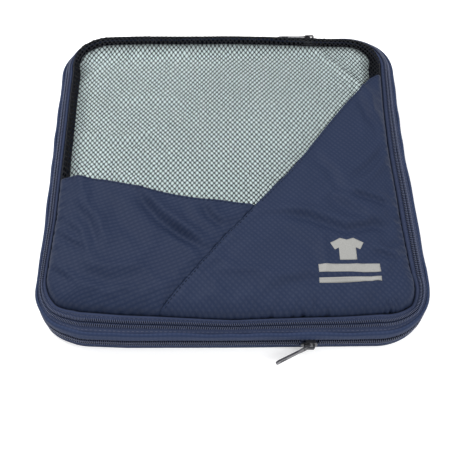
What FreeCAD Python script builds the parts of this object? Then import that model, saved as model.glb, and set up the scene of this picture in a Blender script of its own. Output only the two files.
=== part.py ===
import FreeCAD, Part
import math
import os
import Sketcher

# A flat compression packing cube. Origin: centre of its footprint on the table.
# +X right, +Y toward the rear hinge, +Z up, millimetres.
# Cross-section positions are given as "inset" from the outer outline (toward the middle) and
# height; on the sloped shoulder they are "along" the slope and "lift" off its surface.

DIMENSIONS = {
    "outer_width": 270.0,
    "outer_length": 260.0,
    "corner_radius": 40.0,
    "rim_inset": 13.0,
    "rim_height": 28.0,
    "shoulder_angle": 30.0,
    "shoulder_width": 12.0,
    "cloth": 0.9,
    "tape": 0.6,
    "seam_gap": 0.1,
    "comp_zip_height": 9.0,
    "main_zip_along": 6.0,
    "coil_gap": 0.6,
    "coil_width": 2.7,
    "coil_height": 1.6,
    "comp_tape_inset": 1.65,
    "tape_width": 5.7,
    "wall_inset": 0.55,
    "wall_reach": 4.4,
    "floor_thickness": 0.8,
    "floor_inset": 0.8,
    "binding_gap": 0.3,
    "band_below_fold": 0.8,
    "frame_binding_tuck": 0.2,
    "frame_binding_drop": 1.4,
    "rim_binding_tuck": 0.4,
    "rim_binding_bottom": 3.6,
    "rim_binding_top": 1.1,
    "tape_overhang": 0.8,
    "tab_overhang": 0.6,
    "tab_past_chain": 2.0,
    "tab_clearance": 1.0,
    "gusset_inset": 3.6,
    "gusset_height": 11.8,
    "hinge_half": 38.0,
    "tab_end": 59.5,
    "coil_end": 72.3,
    "main_slider_x": 66.0,
    "comp_slider_x": 50.0,
    "comp_gap_half": 5.8,
    "slider_length": 11.0,
    "slider_half_width": 3.95,
    "plate": 0.9,
    "channel_top": 1.9,
    "channel_bottom": 0.95,
    "flange_drop": 1.6,
    "neck_width": 0.4,
    "bail_half_length": 3.6,
    "bail_width": 2.4,
    "bail_wire": 1.0,
    "bail_height": 2.75,
    "pull_length": 25.0,
    "pull_thickness": 1.2,
    "pull_bar": 0.7,
    "pull_root_half": 3.1,
    "pull_stem_half": 2.0,
    "pull_tip_half": 2.9,
    "pull_angle": 26.8,
    "seam_join_x": 16.5,
    "seam_join_y": -41.0,
    "seam_left_y": -16.0,
    "seam_bend_x": -92.0,
    "seam_bend_y": -18.0,
    "seam_hook_x": 106.0,
    "seam_hook_y": 69.5,
    "seam_right_y": 79.0,
    "seam_front_x": -47.4,
    "mark_x": 76.0,
    "mark_y": -78.0,
    "mark_half": 20.0,
}

# Lid crown: how far each level lies in from the rim, and how high it rises above the rim.
CROWN_LEVELS = ((0.0, 0.0), (2.5, 3.2), (7.0, 6.0), (16.0, 8.6), (34.0, 10.2))
CROWN_CORNER_SHRINK = 0.35
FRONT, REAR = -1, 1
DEEP = 0.5
EDGE_CLEAR = 7.0
TAPE_HALF = 5.0
TAPE_DROP = 0.35
TAPE_JOIN_GAP = 13.0
TAPE_RIGHT_RISE = 6.0
# Where the seam lines end outside the rim, so that the cutters pass right through the shell.
RIGHT_SEAM_RISE = 5.0
FRONT_SEAM_SHIFT = 8.0
FRONT_SEAM_SHORT = 3.0
MARK_RAISE = 0.3
MARK_THICK = 0.2
# Right half of the shirt sign: share of the sign's half width, height above its centre.
SHIRT_HALF = ((0.28, -6.0), (0.28, 3.0), (0.42, 1.5), (0.55, 6.5), (0.22, 10.0))
# The two bars under the sign: bottom and top above its centre.
SIGN_BARS = {"wide": (-15.0, -9.0), "thin": (-21.0, -18.0)}
FULL_HEIGHT = 60.0


class Size:
    """A length that keeps its number together with its spreadsheet formula."""

    def __init__(self, value, text):
        self.value = value
        self.text = text

    def __add__(self, other):
        other = as_size(other)
        return Size(self.value + other.value, f"({self.text} + {other.text})")

    def __sub__(self, other):
        other = as_size(other)
        return Size(self.value - other.value, f"({self.text} - {other.text})")

    def __mul__(self, other):
        other = as_size(other)
        return Size(self.value * other.value, f"({self.text} * {other.text})")

    def __truediv__(self, other):
        other = as_size(other)
        return Size(self.value / other.value, f"({self.text} / {other.text})")

    def __neg__(self):
        return Size(-self.value, f"(0 - {self.text})")

    def __radd__(self, other):
        return as_size(other) + self

    def __rsub__(self, other):
        return as_size(other) - self

    def __rmul__(self, other):
        return as_size(other) * self


def as_size(value):
    return value if isinstance(value, Size) else Size(float(value), f"({float(value)!r})")


def dim(name):
    return Size(DIMENSIONS[name], f"sheet.{name}")


def cosine(angle):
    return Size(math.cos(math.radians(angle.value)), f"cos({angle.text} * 1 deg)")


def sine(angle):
    return Size(math.sin(math.radians(angle.value)), f"sin({angle.text} * 1 deg)")


def bow_radius(half_chord, bow):
    """Radius of an arc from half its chord and how far it bows out."""
    return (half_chord * half_chord + bow * bow) / (2 * bow)


doc = FreeCAD.newDocument("packing_cube")
sheet = doc.addObject("Spreadsheet::Sheet", "sheet")
for row, (alias, number) in enumerate(DIMENSIONS.items(), start=1):
    sheet.set(f"A{row}", alias)
    sheet.set(f"B{row}", str(number))
    sheet.setAlias(f"B{row}", alias)
doc.recompute()

half_w = dim("outer_width") / 2
half_l = dim("outer_length") / 2
cloth = dim("cloth")
tape = dim("tape")
rim_z = dim("rim_height")
slope_cos = cosine(dim("shoulder_angle"))
slope_sin = sine(dim("shoulder_angle"))
fold_inset = dim("rim_inset") - dim("shoulder_width") * slope_cos
fold_z = rim_z - dim("shoulder_width") * slope_sin
half_gap = dim("coil_gap") / 2
pieces = []


# ---------------------------------------------------------------- sketch helpers

def keep(piece):
    pieces.append(piece)
    return piece


def new_body(label):
    body = doc.addObject("PartDesign::Body", label)
    body.Label = label
    return body


def add_sketch(body, name, role, offset=None):
    sketch = body.newObject("Sketcher::SketchObject", name)
    plane = [item for item in body.Origin.OriginFeatures if item.Role == role][0]
    sketch.AttachmentSupport = [(plane, "")]
    sketch.MapMode = "FlatFace"
    if offset is not None:
        sketch.AttachmentOffset = FreeCAD.Placement(
            FreeCAD.Vector(0, 0, offset.value), FreeCAD.Rotation())
        sketch.setExpression("AttachmentOffset.Base.z", offset.text)
    return sketch


def bind(sketch, constraint, name, size):
    index = sketch.addConstraint(constraint)
    sketch.renameConstraint(index, name)
    sketch.setExpression(f"Constraints.{name}", size.text)


def arc_centre(start, end, radius):
    """Centre of the counter-clockwise arc of at most half a turn from start to end."""
    middle = (start + end) * 0.5
    chord = end - start
    half = chord.Length / 2
    rise = math.sqrt(max(radius * radius - half * half, 0.0))
    left = FreeCAD.Vector(-chord.y, chord.x, 0).normalize()
    return middle + left * rise


def draw_chain(sketch, nodes, closed=True):
    """Draw lines and counter-clockwise arcs through nodes (x, y) or (x, y, arc radius)."""
    first = sketch.GeometryCount
    count = len(nodes)
    points = [FreeCAD.Vector(as_size(node[0]).value, as_size(node[1]).value, 0) for node in nodes]
    spans = count if closed else count - 1
    for index in range(spans):
        start, end = points[index], points[(index + 1) % count]
        if len(nodes[index]) == 2:
            sketch.addGeometry(Part.LineSegment(start, end))
            continue
        radius = as_size(nodes[index][2]).value
        centre = arc_centre(start, end, radius)
        angles = [math.atan2(p.y - centre.y, p.x - centre.x) for p in (start, end)]
        circle = Part.Circle(centre, FreeCAD.Vector(0, 0, 1), radius)
        sketch.addGeometry(Part.ArcOfCircle(circle, angles[0], angles[1]))
    for index in range(spans):
        geo = first + index
        following = first + (index + 1) % spans
        if closed or index < spans - 1:
            sketch.addConstraint(Sketcher.Constraint("Coincident", geo, 2, following, 1))
    for index, node in enumerate(nodes):
        at_start = index < spans
        geo = first + (index if at_start else spans - 1)
        end = 1 if at_start else 2
        for axis, size in (("X", as_size(node[0])), ("Y", as_size(node[1]))):
            limit = Sketcher.Constraint("Distance" + axis, -1, 1, geo, end, size.value)
            bind(sketch, limit, f"place{axis}{first + index}", size)
        if len(node) == 3:
            size = as_size(node[2])
            limit = Sketcher.Constraint("Radius", geo, size.value)
            bind(sketch, limit, f"radius{first + index}", size)


def rectangle(x0, y0, x1, y1):
    return [(x0, y0), (x1, y0), (x1, y1), (x0, y1)]


def round_rectangle(half_x, half_y, radius):
    """Rounded rectangle, counter-clockwise from the middle of the front side."""
    return [
        (0, -half_y), (half_x - radius, -half_y, radius), (half_x, radius - half_y),
        (half_x, half_y - radius, radius), (half_x - radius, half_y),
        (radius - half_x, half_y, radius), (-half_x, half_y - radius),
        (-half_x, radius - half_y, radius), (radius - half_x, -half_y),
    ]


def add_pad(body, name, sketch, length, midplane=False):
    pad = body.newObject("PartDesign::Pad", name)
    pad.Profile = sketch
    pad.Length = length.value
    pad.setExpression("Length", length.text)
    pad.SideType = "Symmetric" if midplane else "One side"
    sketch.Visibility = False
    return pad


# ---------------------------------------------------------------- swept strips

def corner_run(points_from, points_to):
    """Outer outline from one point of the front or rear side round to another, open."""
    radius = dim("corner_radius")
    return [points_from] + [
        (half_w - radius, -half_l, radius), (half_w, radius - half_l),
        (half_w, half_l - radius, radius), (half_w - radius, half_l),
        (radius - half_w, half_l, radius), (-half_w, half_l - radius),
        (-half_w, radius - half_l, radius), (radius - half_w, -half_l),
    ] + [points_to]


def rear_to_rear(end_x):
    """The outline that leaves out the middle of the rear side, walked counter-clockwise."""
    radius = dim("corner_radius")
    return [
        (-end_x, half_l), (radius - half_w, half_l, radius), (-half_w, half_l - radius),
        (-half_w, radius - half_l, radius), (radius - half_w, -half_l),
        (half_w - radius, -half_l, radius), (half_w, radius - half_l),
        (half_w, half_l - radius, radius), (half_w - radius, half_l), (end_x, half_l),
    ]


def swept(label, route, closed, start_x, side, section):
    """Sweep a section, given as (inset, height) nodes, along a route of the outer outline."""
    body = new_body(label)
    spine = add_sketch(body, label + "_route", "XY_Plane")
    draw_chain(spine, route, closed)
    profile = add_sketch(body, label + "_section", "YZ_Plane", start_x)
    nodes = []
    for node in section:
        across = (half_l - node[0]) if side == REAR else (node[0] - half_l)
        nodes.append((across,) + tuple(node[1:]))
    if side == REAR:
        nodes = mirrored(nodes)
    draw_chain(profile, nodes)
    doc.recompute()
    pipe = body.newObject("PartDesign::AdditivePipe", label + "_sweep")
    pipe.Profile = profile
    pipe.Spine = (spine, [f"Edge{n + 1}" for n in range(spine.GeometryCount)])
    spine.Visibility = False
    profile.Visibility = False
    return keep(body)


def mirrored(nodes):
    """Reverse a chain so that its arcs still run counter-clockwise after a mirror."""
    turned = []
    count = len(nodes)
    for index in range(count):
        node = nodes[(count - index) % count]
        span = nodes[(count - index - 1) % count]
        turned.append(tuple(node[:2]) + tuple(span[2:]))
    return turned


def upright(inset, low, high, thickness):
    """Section of a vertical strip whose outer face is at inset."""
    return rectangle(inset, low, inset + thickness, high)


def on_shoulder(along, lift):
    """Section position on the sloped shoulder."""
    inset = fold_inset + along * slope_cos - lift * slope_sin
    return (inset, fold_z + along * slope_sin + lift * slope_cos)


def shoulder_strip(start, end, thickness):
    """Flat strip lying just under the shoulder surface."""
    return [on_shoulder(start, -thickness), on_shoulder(end, -thickness),
            on_shoulder(end, as_size(0)), on_shoulder(start, as_size(0))]


COIL_BED = 0.05
COIL_BOW = 0.8


def coil_radius():
    return bow_radius(dim("coil_width") / 2, as_size(COIL_BOW))


def shoulder_coil(start, end):
    """Domed section of one coil half on the shoulder."""
    crest = dim("coil_height") + COIL_BED - COIL_BOW
    far, near = on_shoulder(end, crest), on_shoulder(start, crest)
    return [on_shoulder(start, as_size(COIL_BED)), on_shoulder(end, as_size(COIL_BED)),
            far + (coil_radius(),), near]


def wall_coil(low, high):
    """Domed section of one coil half on the upright wall."""
    bed = dim("comp_tape_inset") - COIL_BED
    crest = bed - dim("coil_height") + COIL_BOW
    return [(bed, low), (bed, high), (crest, high, coil_radius()), (crest, low)]


def ring(label, section):
    return swept(label, round_rectangle(half_w, half_l, dim("corner_radius")), True,
                 as_size(0), FRONT, section)


def comp_ring(label, section):
    """A ring of the compression zipper, broken where its slider parks."""
    right = dim("comp_slider_x") + dim("comp_gap_half")
    left = dim("comp_slider_x") - dim("comp_gap_half")
    return swept(label, corner_run((right, -half_l), (left, -half_l)), False, right, FRONT,
                 section)


def u_run(label, end_x, section):
    return swept(label, rear_to_rear(end_x), False, -end_x, REAR, section)


# ---------------------------------------------------------------- lower half

def build_base():
    zip_z = dim("comp_zip_height")
    wall = dim("wall_inset")
    floor_top = dim("floor_thickness")
    wall_foot = floor_top + dim("seam_gap")
    bottom = new_body("bottom_panel")
    outline = add_sketch(bottom, "bottom_outline", "XY_Plane")
    inset = dim("floor_inset")
    draw_chain(outline, round_rectangle(half_w - inset, half_l - inset,
                                        dim("corner_radius") - inset))
    add_pad(bottom, "bottom_pad", outline, floor_top)
    keep(bottom)
    ring("base_wall", upright(wall, wall_foot, zip_z - dim("wall_reach"), cloth))
    ring("base_binding", upright(dim("comp_tape_inset"), wall_foot,
                                 zip_z - dim("tape_width") - dim("binding_gap"), cloth))
    ring("comp_tape_low", upright(dim("comp_tape_inset"), zip_z - dim("tape_width"),
                                  zip_z - half_gap, tape))
    comp_ring("comp_coil_low", wall_coil(zip_z - half_gap - dim("coil_width"),
                                         zip_z - half_gap))
    ring("gusset", upright(dim("gusset_inset"), zip_z - dim("tape_width"),
                           zip_z - dim("tape_width") + dim("gusset_height"), cloth))


# ---------------------------------------------------------------- middle frame

def build_frame():
    zip_z = dim("comp_zip_height")
    centre = dim("main_zip_along")
    ring("comp_tape_up", upright(dim("comp_tape_inset"), zip_z + half_gap,
                                 zip_z + dim("tape_width"), tape))
    comp_ring("comp_coil_up", wall_coil(zip_z + half_gap,
                                        zip_z + half_gap + dim("coil_width")))
    ring("mid_band", upright(dim("wall_inset"), zip_z + dim("wall_reach"),
                             fold_z - dim("band_below_fold"), cloth))
    ring("frame_binding", upright(fold_inset - dim("frame_binding_tuck"),
                                  zip_z + dim("tape_width") + dim("binding_gap") * 2,
                                  fold_z - dim("frame_binding_drop"), cloth))
    u_run("main_tape_low", dim("tab_end"),
          shoulder_strip(-dim("tape_overhang"), centre - half_gap, tape))
    u_run("main_coil_low", dim("coil_end"),
          shoulder_coil(centre - half_gap - dim("coil_width"), centre - half_gap))
    build_end_tabs()


def straight_strip(label, low_x, high_x, section):
    """Straight strip along the rear side between two X positions."""
    body = new_body(label)
    profile = add_sketch(body, label + "_section", "YZ_Plane", low_x)
    draw_chain(profile, mirrored([(half_l - inset, height) for inset, height in section]))
    add_pad(body, label + "_pad", profile, high_x - low_x)
    return body


def build_end_tabs():
    """Two fabric tabs, one solid each, over the ends of the main zipper."""
    start = -dim("tab_overhang")
    reach = dim("main_zip_along") + dim("tab_past_chain")
    under = dim("seam_gap")
    section = [on_shoulder(start, under), on_shoulder(reach, under),
               on_shoulder(reach, cloth), on_shoulder(start, cloth)]
    inner = dim("hinge_half") + dim("tab_clearance")
    left = straight_strip("end_tab_left", -dim("tab_end"), -inner, section)
    right = straight_strip("end_tab_right", inner, dim("tab_end"), section)
    pair = doc.addObject("Part::Compound", "zip_end_tabs")
    pair.Label = "zip_end_tabs"
    pair.Links = [left, right]
    keep(pair)


# ---------------------------------------------------------------- lid

def crown_sketch(body, name, inset, height):
    sketch = add_sketch(body, name, "XY_Plane", height)
    rim = dim("rim_inset") + dim("seam_gap")
    radius = dim("corner_radius") - rim - inset * CROWN_CORNER_SHRINK
    draw_chain(sketch, round_rectangle(half_w - rim - inset, half_l - rim - inset, radius))
    return sketch


def add_loft(body, kind, name, sketches):
    loft = body.newObject(kind, name)
    loft.Profile = sketches[0]
    loft.Sections = sketches[1:]
    for sketch in sketches:
        sketch.Visibility = False
    return loft


def crown_shell(label, lift, thickness):
    """Thin domed shell over the rim opening, raised by lift from the lid surface."""
    body = new_body(label)
    outside = []
    inside = []
    for index, (inset, rise) in enumerate(CROWN_LEVELS):
        height = rim_z + dim("seam_gap") + rise + lift
        outside.append(crown_sketch(body, f"{label}_outer{index}", as_size(inset) - lift, height))
    doc.recompute()
    add_loft(body, "PartDesign::AdditiveLoft", label + "_outer", outside)
    doc.recompute()
    for index, (inset, rise) in enumerate(CROWN_LEVELS):
        depth = thickness if index else as_size(DEEP)
        height = rim_z + dim("seam_gap") + rise + lift - depth
        inside.append(crown_sketch(body, f"{label}_inner{index}",
                                   inset + thickness - lift, height))
    doc.recompute()
    add_loft(body, "PartDesign::SubtractiveLoft", label + "_inner", inside)
    return body


def prism(label, nodes):
    body = new_body(label)
    outline = add_sketch(body, label + "_outline", "XY_Plane")
    draw_chain(outline, nodes)
    add_pad(body, label + "_pad", outline, as_size(FULL_HEIGHT))
    return body


def common(label, shell, cutter):
    piece = doc.addObject("Part::Common", label)
    piece.Label = label
    piece.Base = shell
    piece.Tool = cutter
    return keep(piece)


def moved(node, shift_x, shift_y):
    return (node[0] + shift_x, node[1] + shift_y)


def seam_nodes():
    """The corners of the seams between the three lid panels, in plan."""
    join = (dim("seam_join_x"), dim("seam_join_y"))
    left = (-half_w, dim("seam_left_y"))
    bend = (dim("seam_bend_x"), dim("seam_bend_y"))
    hook = (dim("seam_hook_x"), dim("seam_hook_y"))
    right = (half_w, dim("seam_right_y") + RIGHT_SEAM_RISE)
    front = (dim("seam_front_x") - FRONT_SEAM_SHIFT, -half_l + FRONT_SEAM_SHORT)
    return left, bend, join, hook, right, front


def build_lid_panels():
    left, bend, join, hook, right, front = seam_nodes()
    gap = dim("seam_gap") / 2
    shell = crown_shell("lid_shell", as_size(0), cloth)
    window = [moved(node, as_size(0), gap) for node in (left, bend, join, hook, right)]
    common("mesh_window", shell, prism("window_cutter", window + [(half_w, half_l),
                                                                  (-half_w, half_l)]))
    left_side = [moved(node, -gap, -gap) for node in (front, join, bend, left)]
    common("left_panel", shell, prism("left_cutter", left_side + [(-half_w, -half_l)]))
    right_side = [moved(node, gap, -gap) for node in (right, hook, join, front)]
    common("right_panel", shell, prism("right_cutter", right_side + [(half_w, -half_l)]))


def strip_along(points, half):
    """Outline of a strip of even width along a bent line, pushed out along Y."""
    upper = [(x, y + half) for x, y in points]
    lower = [(x, y - half) for x, y in points]
    return lower + upper[::-1]


def build_lid_tapes():
    """Seam tapes under the seams, clear of the rim binding."""
    left, bend, join, hook, right, front = seam_nodes()
    under = crown_shell("tape_shell", -(cloth + TAPE_DROP), tape)
    edge_x = half_w - dim("rim_inset") - EDGE_CLEAR
    start = (-edge_x, dim("seam_left_y"))
    end = (edge_x, dim("seam_hook_y") + TAPE_RIGHT_RISE)
    common("window_tape", under, prism("window_tape_cutter",
                                       strip_along([start, bend, join, hook, end], TAPE_HALF)))
    top = moved(join, as_size(0), as_size(-TAPE_JOIN_GAP))
    foot_y = dim("rim_inset") + EDGE_CLEAR - half_l
    along = (top[1] - foot_y) / (join[1] - front[1])
    foot = (top[0] - (join[0] - front[0]) * along, foot_y)
    half = TAPE_HALF
    strip = [(foot[0] - half, foot[1]), (foot[0] + half, foot[1]), (top[0] + half, top[1]),
             (top[0] - half, top[1])]
    common("panel_tape", under, prism("panel_tape_cutter", strip))


def build_print():
    """A plain shirt sign over two bars, as one thin printed layer of three solids."""
    layer = crown_shell("print_shell", as_size(MARK_RAISE), as_size(MARK_THICK))
    x, y, half = dim("mark_x"), dim("mark_y"), dim("mark_half")
    right_side = [(x + half * share, y + rise) for share, rise in SHIRT_HALF]
    left_side = [(x - half * share, y + rise) for share, rise in SHIRT_HALF[::-1]]
    shapes = {"shirt": right_side + left_side}
    for name, (bottom, top) in SIGN_BARS.items():
        shapes[name] = rectangle(x - half, y + bottom, x + half, y + top)
    body = new_body("print_cutter")
    for name, nodes in shapes.items():
        outline = add_sketch(body, name + "_outline", "XY_Plane")
        draw_chain(outline, nodes)
    doc.recompute()
    outlines = [item for item in body.Group if item.isDerivedFrom("Sketcher::SketchObject")]
    prints = []
    for outline in outlines:
        solid = doc.addObject("Part::Extrusion", outline.Name + "_prism")
        solid.Base = outline
        solid.DirMode = "Custom"
        solid.Dir = FreeCAD.Vector(0, 0, 1)
        solid.LengthFwd = FULL_HEIGHT
        solid.Solid = True
        cut = doc.addObject("Part::Common", outline.Name + "_print")
        cut.Base = layer
        cut.Tool = solid
        prints.append(cut)
    mark = doc.addObject("Part::Compound", "print_mark")
    mark.Label = "print_mark"
    mark.Links = prints
    keep(mark)


def build_lid():
    centre = dim("main_zip_along")
    groove = dim("shoulder_width") - dim("seam_gap")
    u_run("main_tape_up", dim("coil_end"),
          shoulder_strip(centre + half_gap, groove, tape))
    u_run("main_coil_up", dim("coil_end"),
          shoulder_coil(centre + half_gap, centre + half_gap + dim("coil_width")))
    ring("lid_binding", upright(dim("rim_inset") - dim("rim_binding_tuck"),
                                rim_z - dim("rim_binding_bottom"),
                                rim_z - dim("rim_binding_top"), 2 * cloth))
    keep(straight_strip("hinge_strip", -dim("hinge_half"), dim("hinge_half"),
                        shoulder_strip(as_size(0), groove, tape)))
    build_lid_panels()
    build_lid_tapes()
    build_print()


# ---------------------------------------------------------------- sliders

# Slider axes: local X along the chain, local Y across it, local Z out of the tape.
UPRIGHT_TURN = FreeCAD.Rotation(FreeCAD.Vector(1, 0, 0), 90)
REAR_TURN = FreeCAD.Rotation(FreeCAD.Vector(0, 0, 1), 180).multiply(
    FreeCAD.Rotation(FreeCAD.Vector(1, 0, 0), DIMENSIONS["shoulder_angle"]))
ABOUT_FACE = FreeCAD.Rotation(FreeCAD.Vector(0, 0, 1), 180)
PULL_TURN = FreeCAD.Rotation(FreeCAD.Vector(0, 0, 1), DIMENSIONS["pull_angle"])


def place(piece, position, turn):
    piece.Placement = FreeCAD.Placement(
        FreeCAD.Vector(*[size.value for size in position]), turn)
    for axis, size in zip("xyz", position):
        piece.setExpression(f"Placement.Base.{axis}", size.text)
    return piece


# Slider plates: the wide end is at +X, the plate tapers from TAPER_X to the nose at -X.
NOSE_SHARE = 0.6
WIDE_BOW = 1.3
NOSE_BOW = 0.9
TAPER_X = -2.6
NECK_START = 1.5
FLANGE_START = -2.4
FLANGE_END = 4.0
FLANGE_THICKNESS = 0.8


def plate_outline():
    half = dim("slider_half_width")
    reach = dim("slider_length") / 2
    nose = half * NOSE_SHARE
    wide_bow, nose_bow, taper = as_size(WIDE_BOW), as_size(NOSE_BOW), as_size(TAPER_X)
    return [
        (reach - wide_bow, -half, bow_radius(half, wide_bow)), (reach - wide_bow, half),
        (taper, half), (nose_bow - reach, nose, bow_radius(nose, nose_bow)),
        (nose_bow - reach, -nose), (taper, -half),
    ]


def make_slider(label, position, turn):
    body = new_body(label)
    top, bottom, plate = dim("channel_top"), dim("channel_bottom"), dim("plate")
    half, neck = dim("slider_half_width"), dim("neck_width") / 2
    under = add_sketch(body, label + "_under", "XY_Plane", -(bottom + plate))
    draw_chain(under, plate_outline())
    add_pad(body, label + "_under_plate", under, plate)
    middle = add_sketch(body, label + "_neck", "XY_Plane", -bottom)
    draw_chain(middle, rectangle(as_size(NECK_START), -neck, as_size(FLANGE_END), neck))
    add_pad(body, label + "_neck_pad", middle, bottom + top)
    over = add_sketch(body, label + "_over", "XY_Plane", top)
    draw_chain(over, plate_outline())
    add_pad(body, label + "_over_plate", over, plate)
    sides = add_sketch(body, label + "_flanges", "XY_Plane", top - dim("flange_drop"))
    inner = half - FLANGE_THICKNESS
    start, end = as_size(FLANGE_START), as_size(FLANGE_END)
    draw_chain(sides, rectangle(start, inner, end, half))
    draw_chain(sides, rectangle(start, -half, end, -inner))
    add_pad(body, label + "_flange_pad", sides, dim("flange_drop"))
    place(body, position, turn)
    return keep(body)


BAIL_SEAT = 0.05
BAIL_LEG = 1.1
BAIL_BEVEL = 0.7
BAIL_INNER_BEVEL = 0.3


def make_bail(label, position, turn):
    """The bridge that holds the pull tab: a strap arched over the slider."""
    body = new_body(label)
    foot = dim("channel_top") + dim("plate") + BAIL_SEAT
    top = foot + dim("bail_height")
    outer, bevel, small = dim("bail_half_length"), BAIL_BEVEL, BAIL_INNER_BEVEL
    inner, roof = outer - BAIL_LEG, top - dim("bail_wire")
    arch = add_sketch(body, label + "_arch", "XZ_Plane")
    draw_chain(arch, [
        (outer, foot), (outer, top - bevel), (outer - bevel, top), (bevel - outer, top),
        (-outer, top - bevel), (-outer, foot), (-inner, foot), (-inner, roof - small),
        (small - inner, roof), (inner - small, roof), (inner, roof - small), (inner, foot)])
    add_pad(body, label + "_pad", arch, dim("bail_width"), midplane=True)
    place(body, position, turn)
    return keep(body)


BAR_LIFT = 0.95
TIP_BOW = 1.5
EYE_CLEARANCE = 0.8
EYE_HALF = 1.6
EYE_RIM = 1.0
STEM_START = 4.0
SLOT_START = 1.5
SLOT_END = 6.5
SLOT_HALF = 0.9


def make_pull(label, position, turn):
    """Flat pull tab; local origin on the bar that runs under the bail."""
    body = new_body(label)
    bar = dim("pull_thickness") / 2
    root, stem, tip = dim("pull_root_half"), dim("pull_stem_half"), dim("pull_tip_half")
    tip_x, tip_bow = -(dim("pull_length") - TIP_BOW), as_size(TIP_BOW)
    eye = dim("bail_half_length") + EYE_CLEARANCE
    outline = add_sketch(body, label + "_outline", "XY_Plane")
    draw_chain(outline, [
        (bar, -root), (bar, root), (-eye - EYE_RIM, root), (-eye - STEM_START, stem),
        (tip_x, tip, bow_radius(tip, tip_bow)), (tip_x, -tip), (-eye - STEM_START, -stem),
        (-eye - EYE_RIM, -root)])
    draw_chain(outline, rectangle(-eye, as_size(-EYE_HALF), -bar, as_size(EYE_HALF)))
    draw_chain(outline, rectangle(tip_x + SLOT_START, as_size(-SLOT_HALF),
                                  tip_x + SLOT_END, as_size(SLOT_HALF)))
    add_pad(body, label + "_pad", outline, dim("pull_thickness"), midplane=True)
    round_bar = add_sketch(body, label + "_bar", "XZ_Plane")
    centre = FreeCAD.Vector(0, 0, 0)
    circle = Part.Circle(centre, FreeCAD.Vector(0, 0, 1), dim("pull_bar").value)
    round_bar.addGeometry(circle)
    round_bar.addConstraint(Sketcher.Constraint("Coincident", 0, 3, -1, 1))
    limit = Sketcher.Constraint("Radius", 0, dim("pull_bar").value)
    bind(round_bar, limit, "bar_radius", dim("pull_bar"))
    add_pad(body, label + "_bar_pad", round_bar, root * 2, midplane=True)
    place(body, position, turn)
    return keep(body)


def build_sliders():
    bar_lift = dim("channel_top") + dim("plate") + BAR_LIFT
    wall_y = dim("comp_tape_inset") - half_l
    spot = (dim("comp_slider_x"), wall_y, dim("comp_zip_height"))
    make_slider("comp_slider", spot, UPRIGHT_TURN)
    make_bail("comp_bail", spot, UPRIGHT_TURN)
    make_pull("comp_pull", (spot[0], wall_y - bar_lift, spot[2]),
              PULL_TURN.multiply(UPRIGHT_TURN))
    inset, height = on_shoulder(dim("main_zip_along"), as_size(0))
    spot = (dim("main_slider_x"), half_l - inset, height)
    make_slider("main_slider", spot, REAR_TURN)
    make_bail("main_bail", spot, REAR_TURN)
    inset, height = on_shoulder(dim("main_zip_along"), bar_lift)
    make_pull("main_pull", (spot[0], half_l - inset, height), REAR_TURN.multiply(ABOUT_FACE))


# ---------------------------------------------------------------- build and write

build_base()
build_frame()
build_lid()
build_sliders()
doc.recompute()

for item in doc.Objects:
    if "Invalid" in item.State or "Error" in item.State:
        raise RuntimeError(f"{item.Name} failed: {item.State}")
for piece in pieces:
    if piece.Shape.isNull() or not piece.Shape.isValid() or not piece.Shape.Solids:
        raise RuntimeError(f"{piece.Label} has no valid solid")

os.makedirs("parts", exist_ok=True)
for piece in pieces:
    piece.Shape.exportStep(f"parts/{piece.Label}.step")
    box = piece.Shape.optimalBoundingBox(False)
    print(f"{piece.Label:16s} solids {len(piece.Shape.Solids)} volume {piece.Shape.Volume:9.1f} "
          f"x {box.XMin:7.2f} {box.XMax:7.2f} y {box.YMin:7.2f} {box.YMax:7.2f} "
          f"z {box.ZMin:6.2f} {box.ZMax:6.2f}")
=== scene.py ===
import math

import bmesh
import bpy
import numpy as np
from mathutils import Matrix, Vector
from mathutils.geometry import delaunay_2d_cdt


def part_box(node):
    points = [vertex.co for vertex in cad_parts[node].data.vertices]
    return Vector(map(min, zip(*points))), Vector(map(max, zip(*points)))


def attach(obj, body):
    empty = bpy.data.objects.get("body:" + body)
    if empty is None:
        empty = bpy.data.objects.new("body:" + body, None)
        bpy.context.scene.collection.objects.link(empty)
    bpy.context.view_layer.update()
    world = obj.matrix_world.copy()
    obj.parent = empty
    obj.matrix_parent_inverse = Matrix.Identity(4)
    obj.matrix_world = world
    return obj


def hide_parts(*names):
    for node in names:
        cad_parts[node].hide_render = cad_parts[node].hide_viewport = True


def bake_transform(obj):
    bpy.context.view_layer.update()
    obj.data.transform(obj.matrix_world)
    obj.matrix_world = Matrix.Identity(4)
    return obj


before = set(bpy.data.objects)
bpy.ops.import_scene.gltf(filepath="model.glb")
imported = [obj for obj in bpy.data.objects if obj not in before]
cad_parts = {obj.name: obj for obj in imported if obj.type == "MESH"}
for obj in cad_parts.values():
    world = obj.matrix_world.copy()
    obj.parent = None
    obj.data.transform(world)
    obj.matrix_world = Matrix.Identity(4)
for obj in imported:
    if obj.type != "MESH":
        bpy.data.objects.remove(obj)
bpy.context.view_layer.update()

# Lengths in this script are millimetres until an object is made. "inset" is the distance in from
# the outer outline, "run" the distance along it from the middle of the front, counter-clockwise.
MM = 0.001


def box_mm(node):
    """Lower and upper corner of a CAD node's box, in millimetres."""
    low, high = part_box(node)
    return np.array(low) / MM, np.array(high) / MM


def middle_x(node):
    """Middle of a CAD node from left to right."""
    low, high = box_mm(node)
    return low[0] / 2 + high[0] / 2


# ---------------------------------------------------------------- sizes read from the frame

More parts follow.
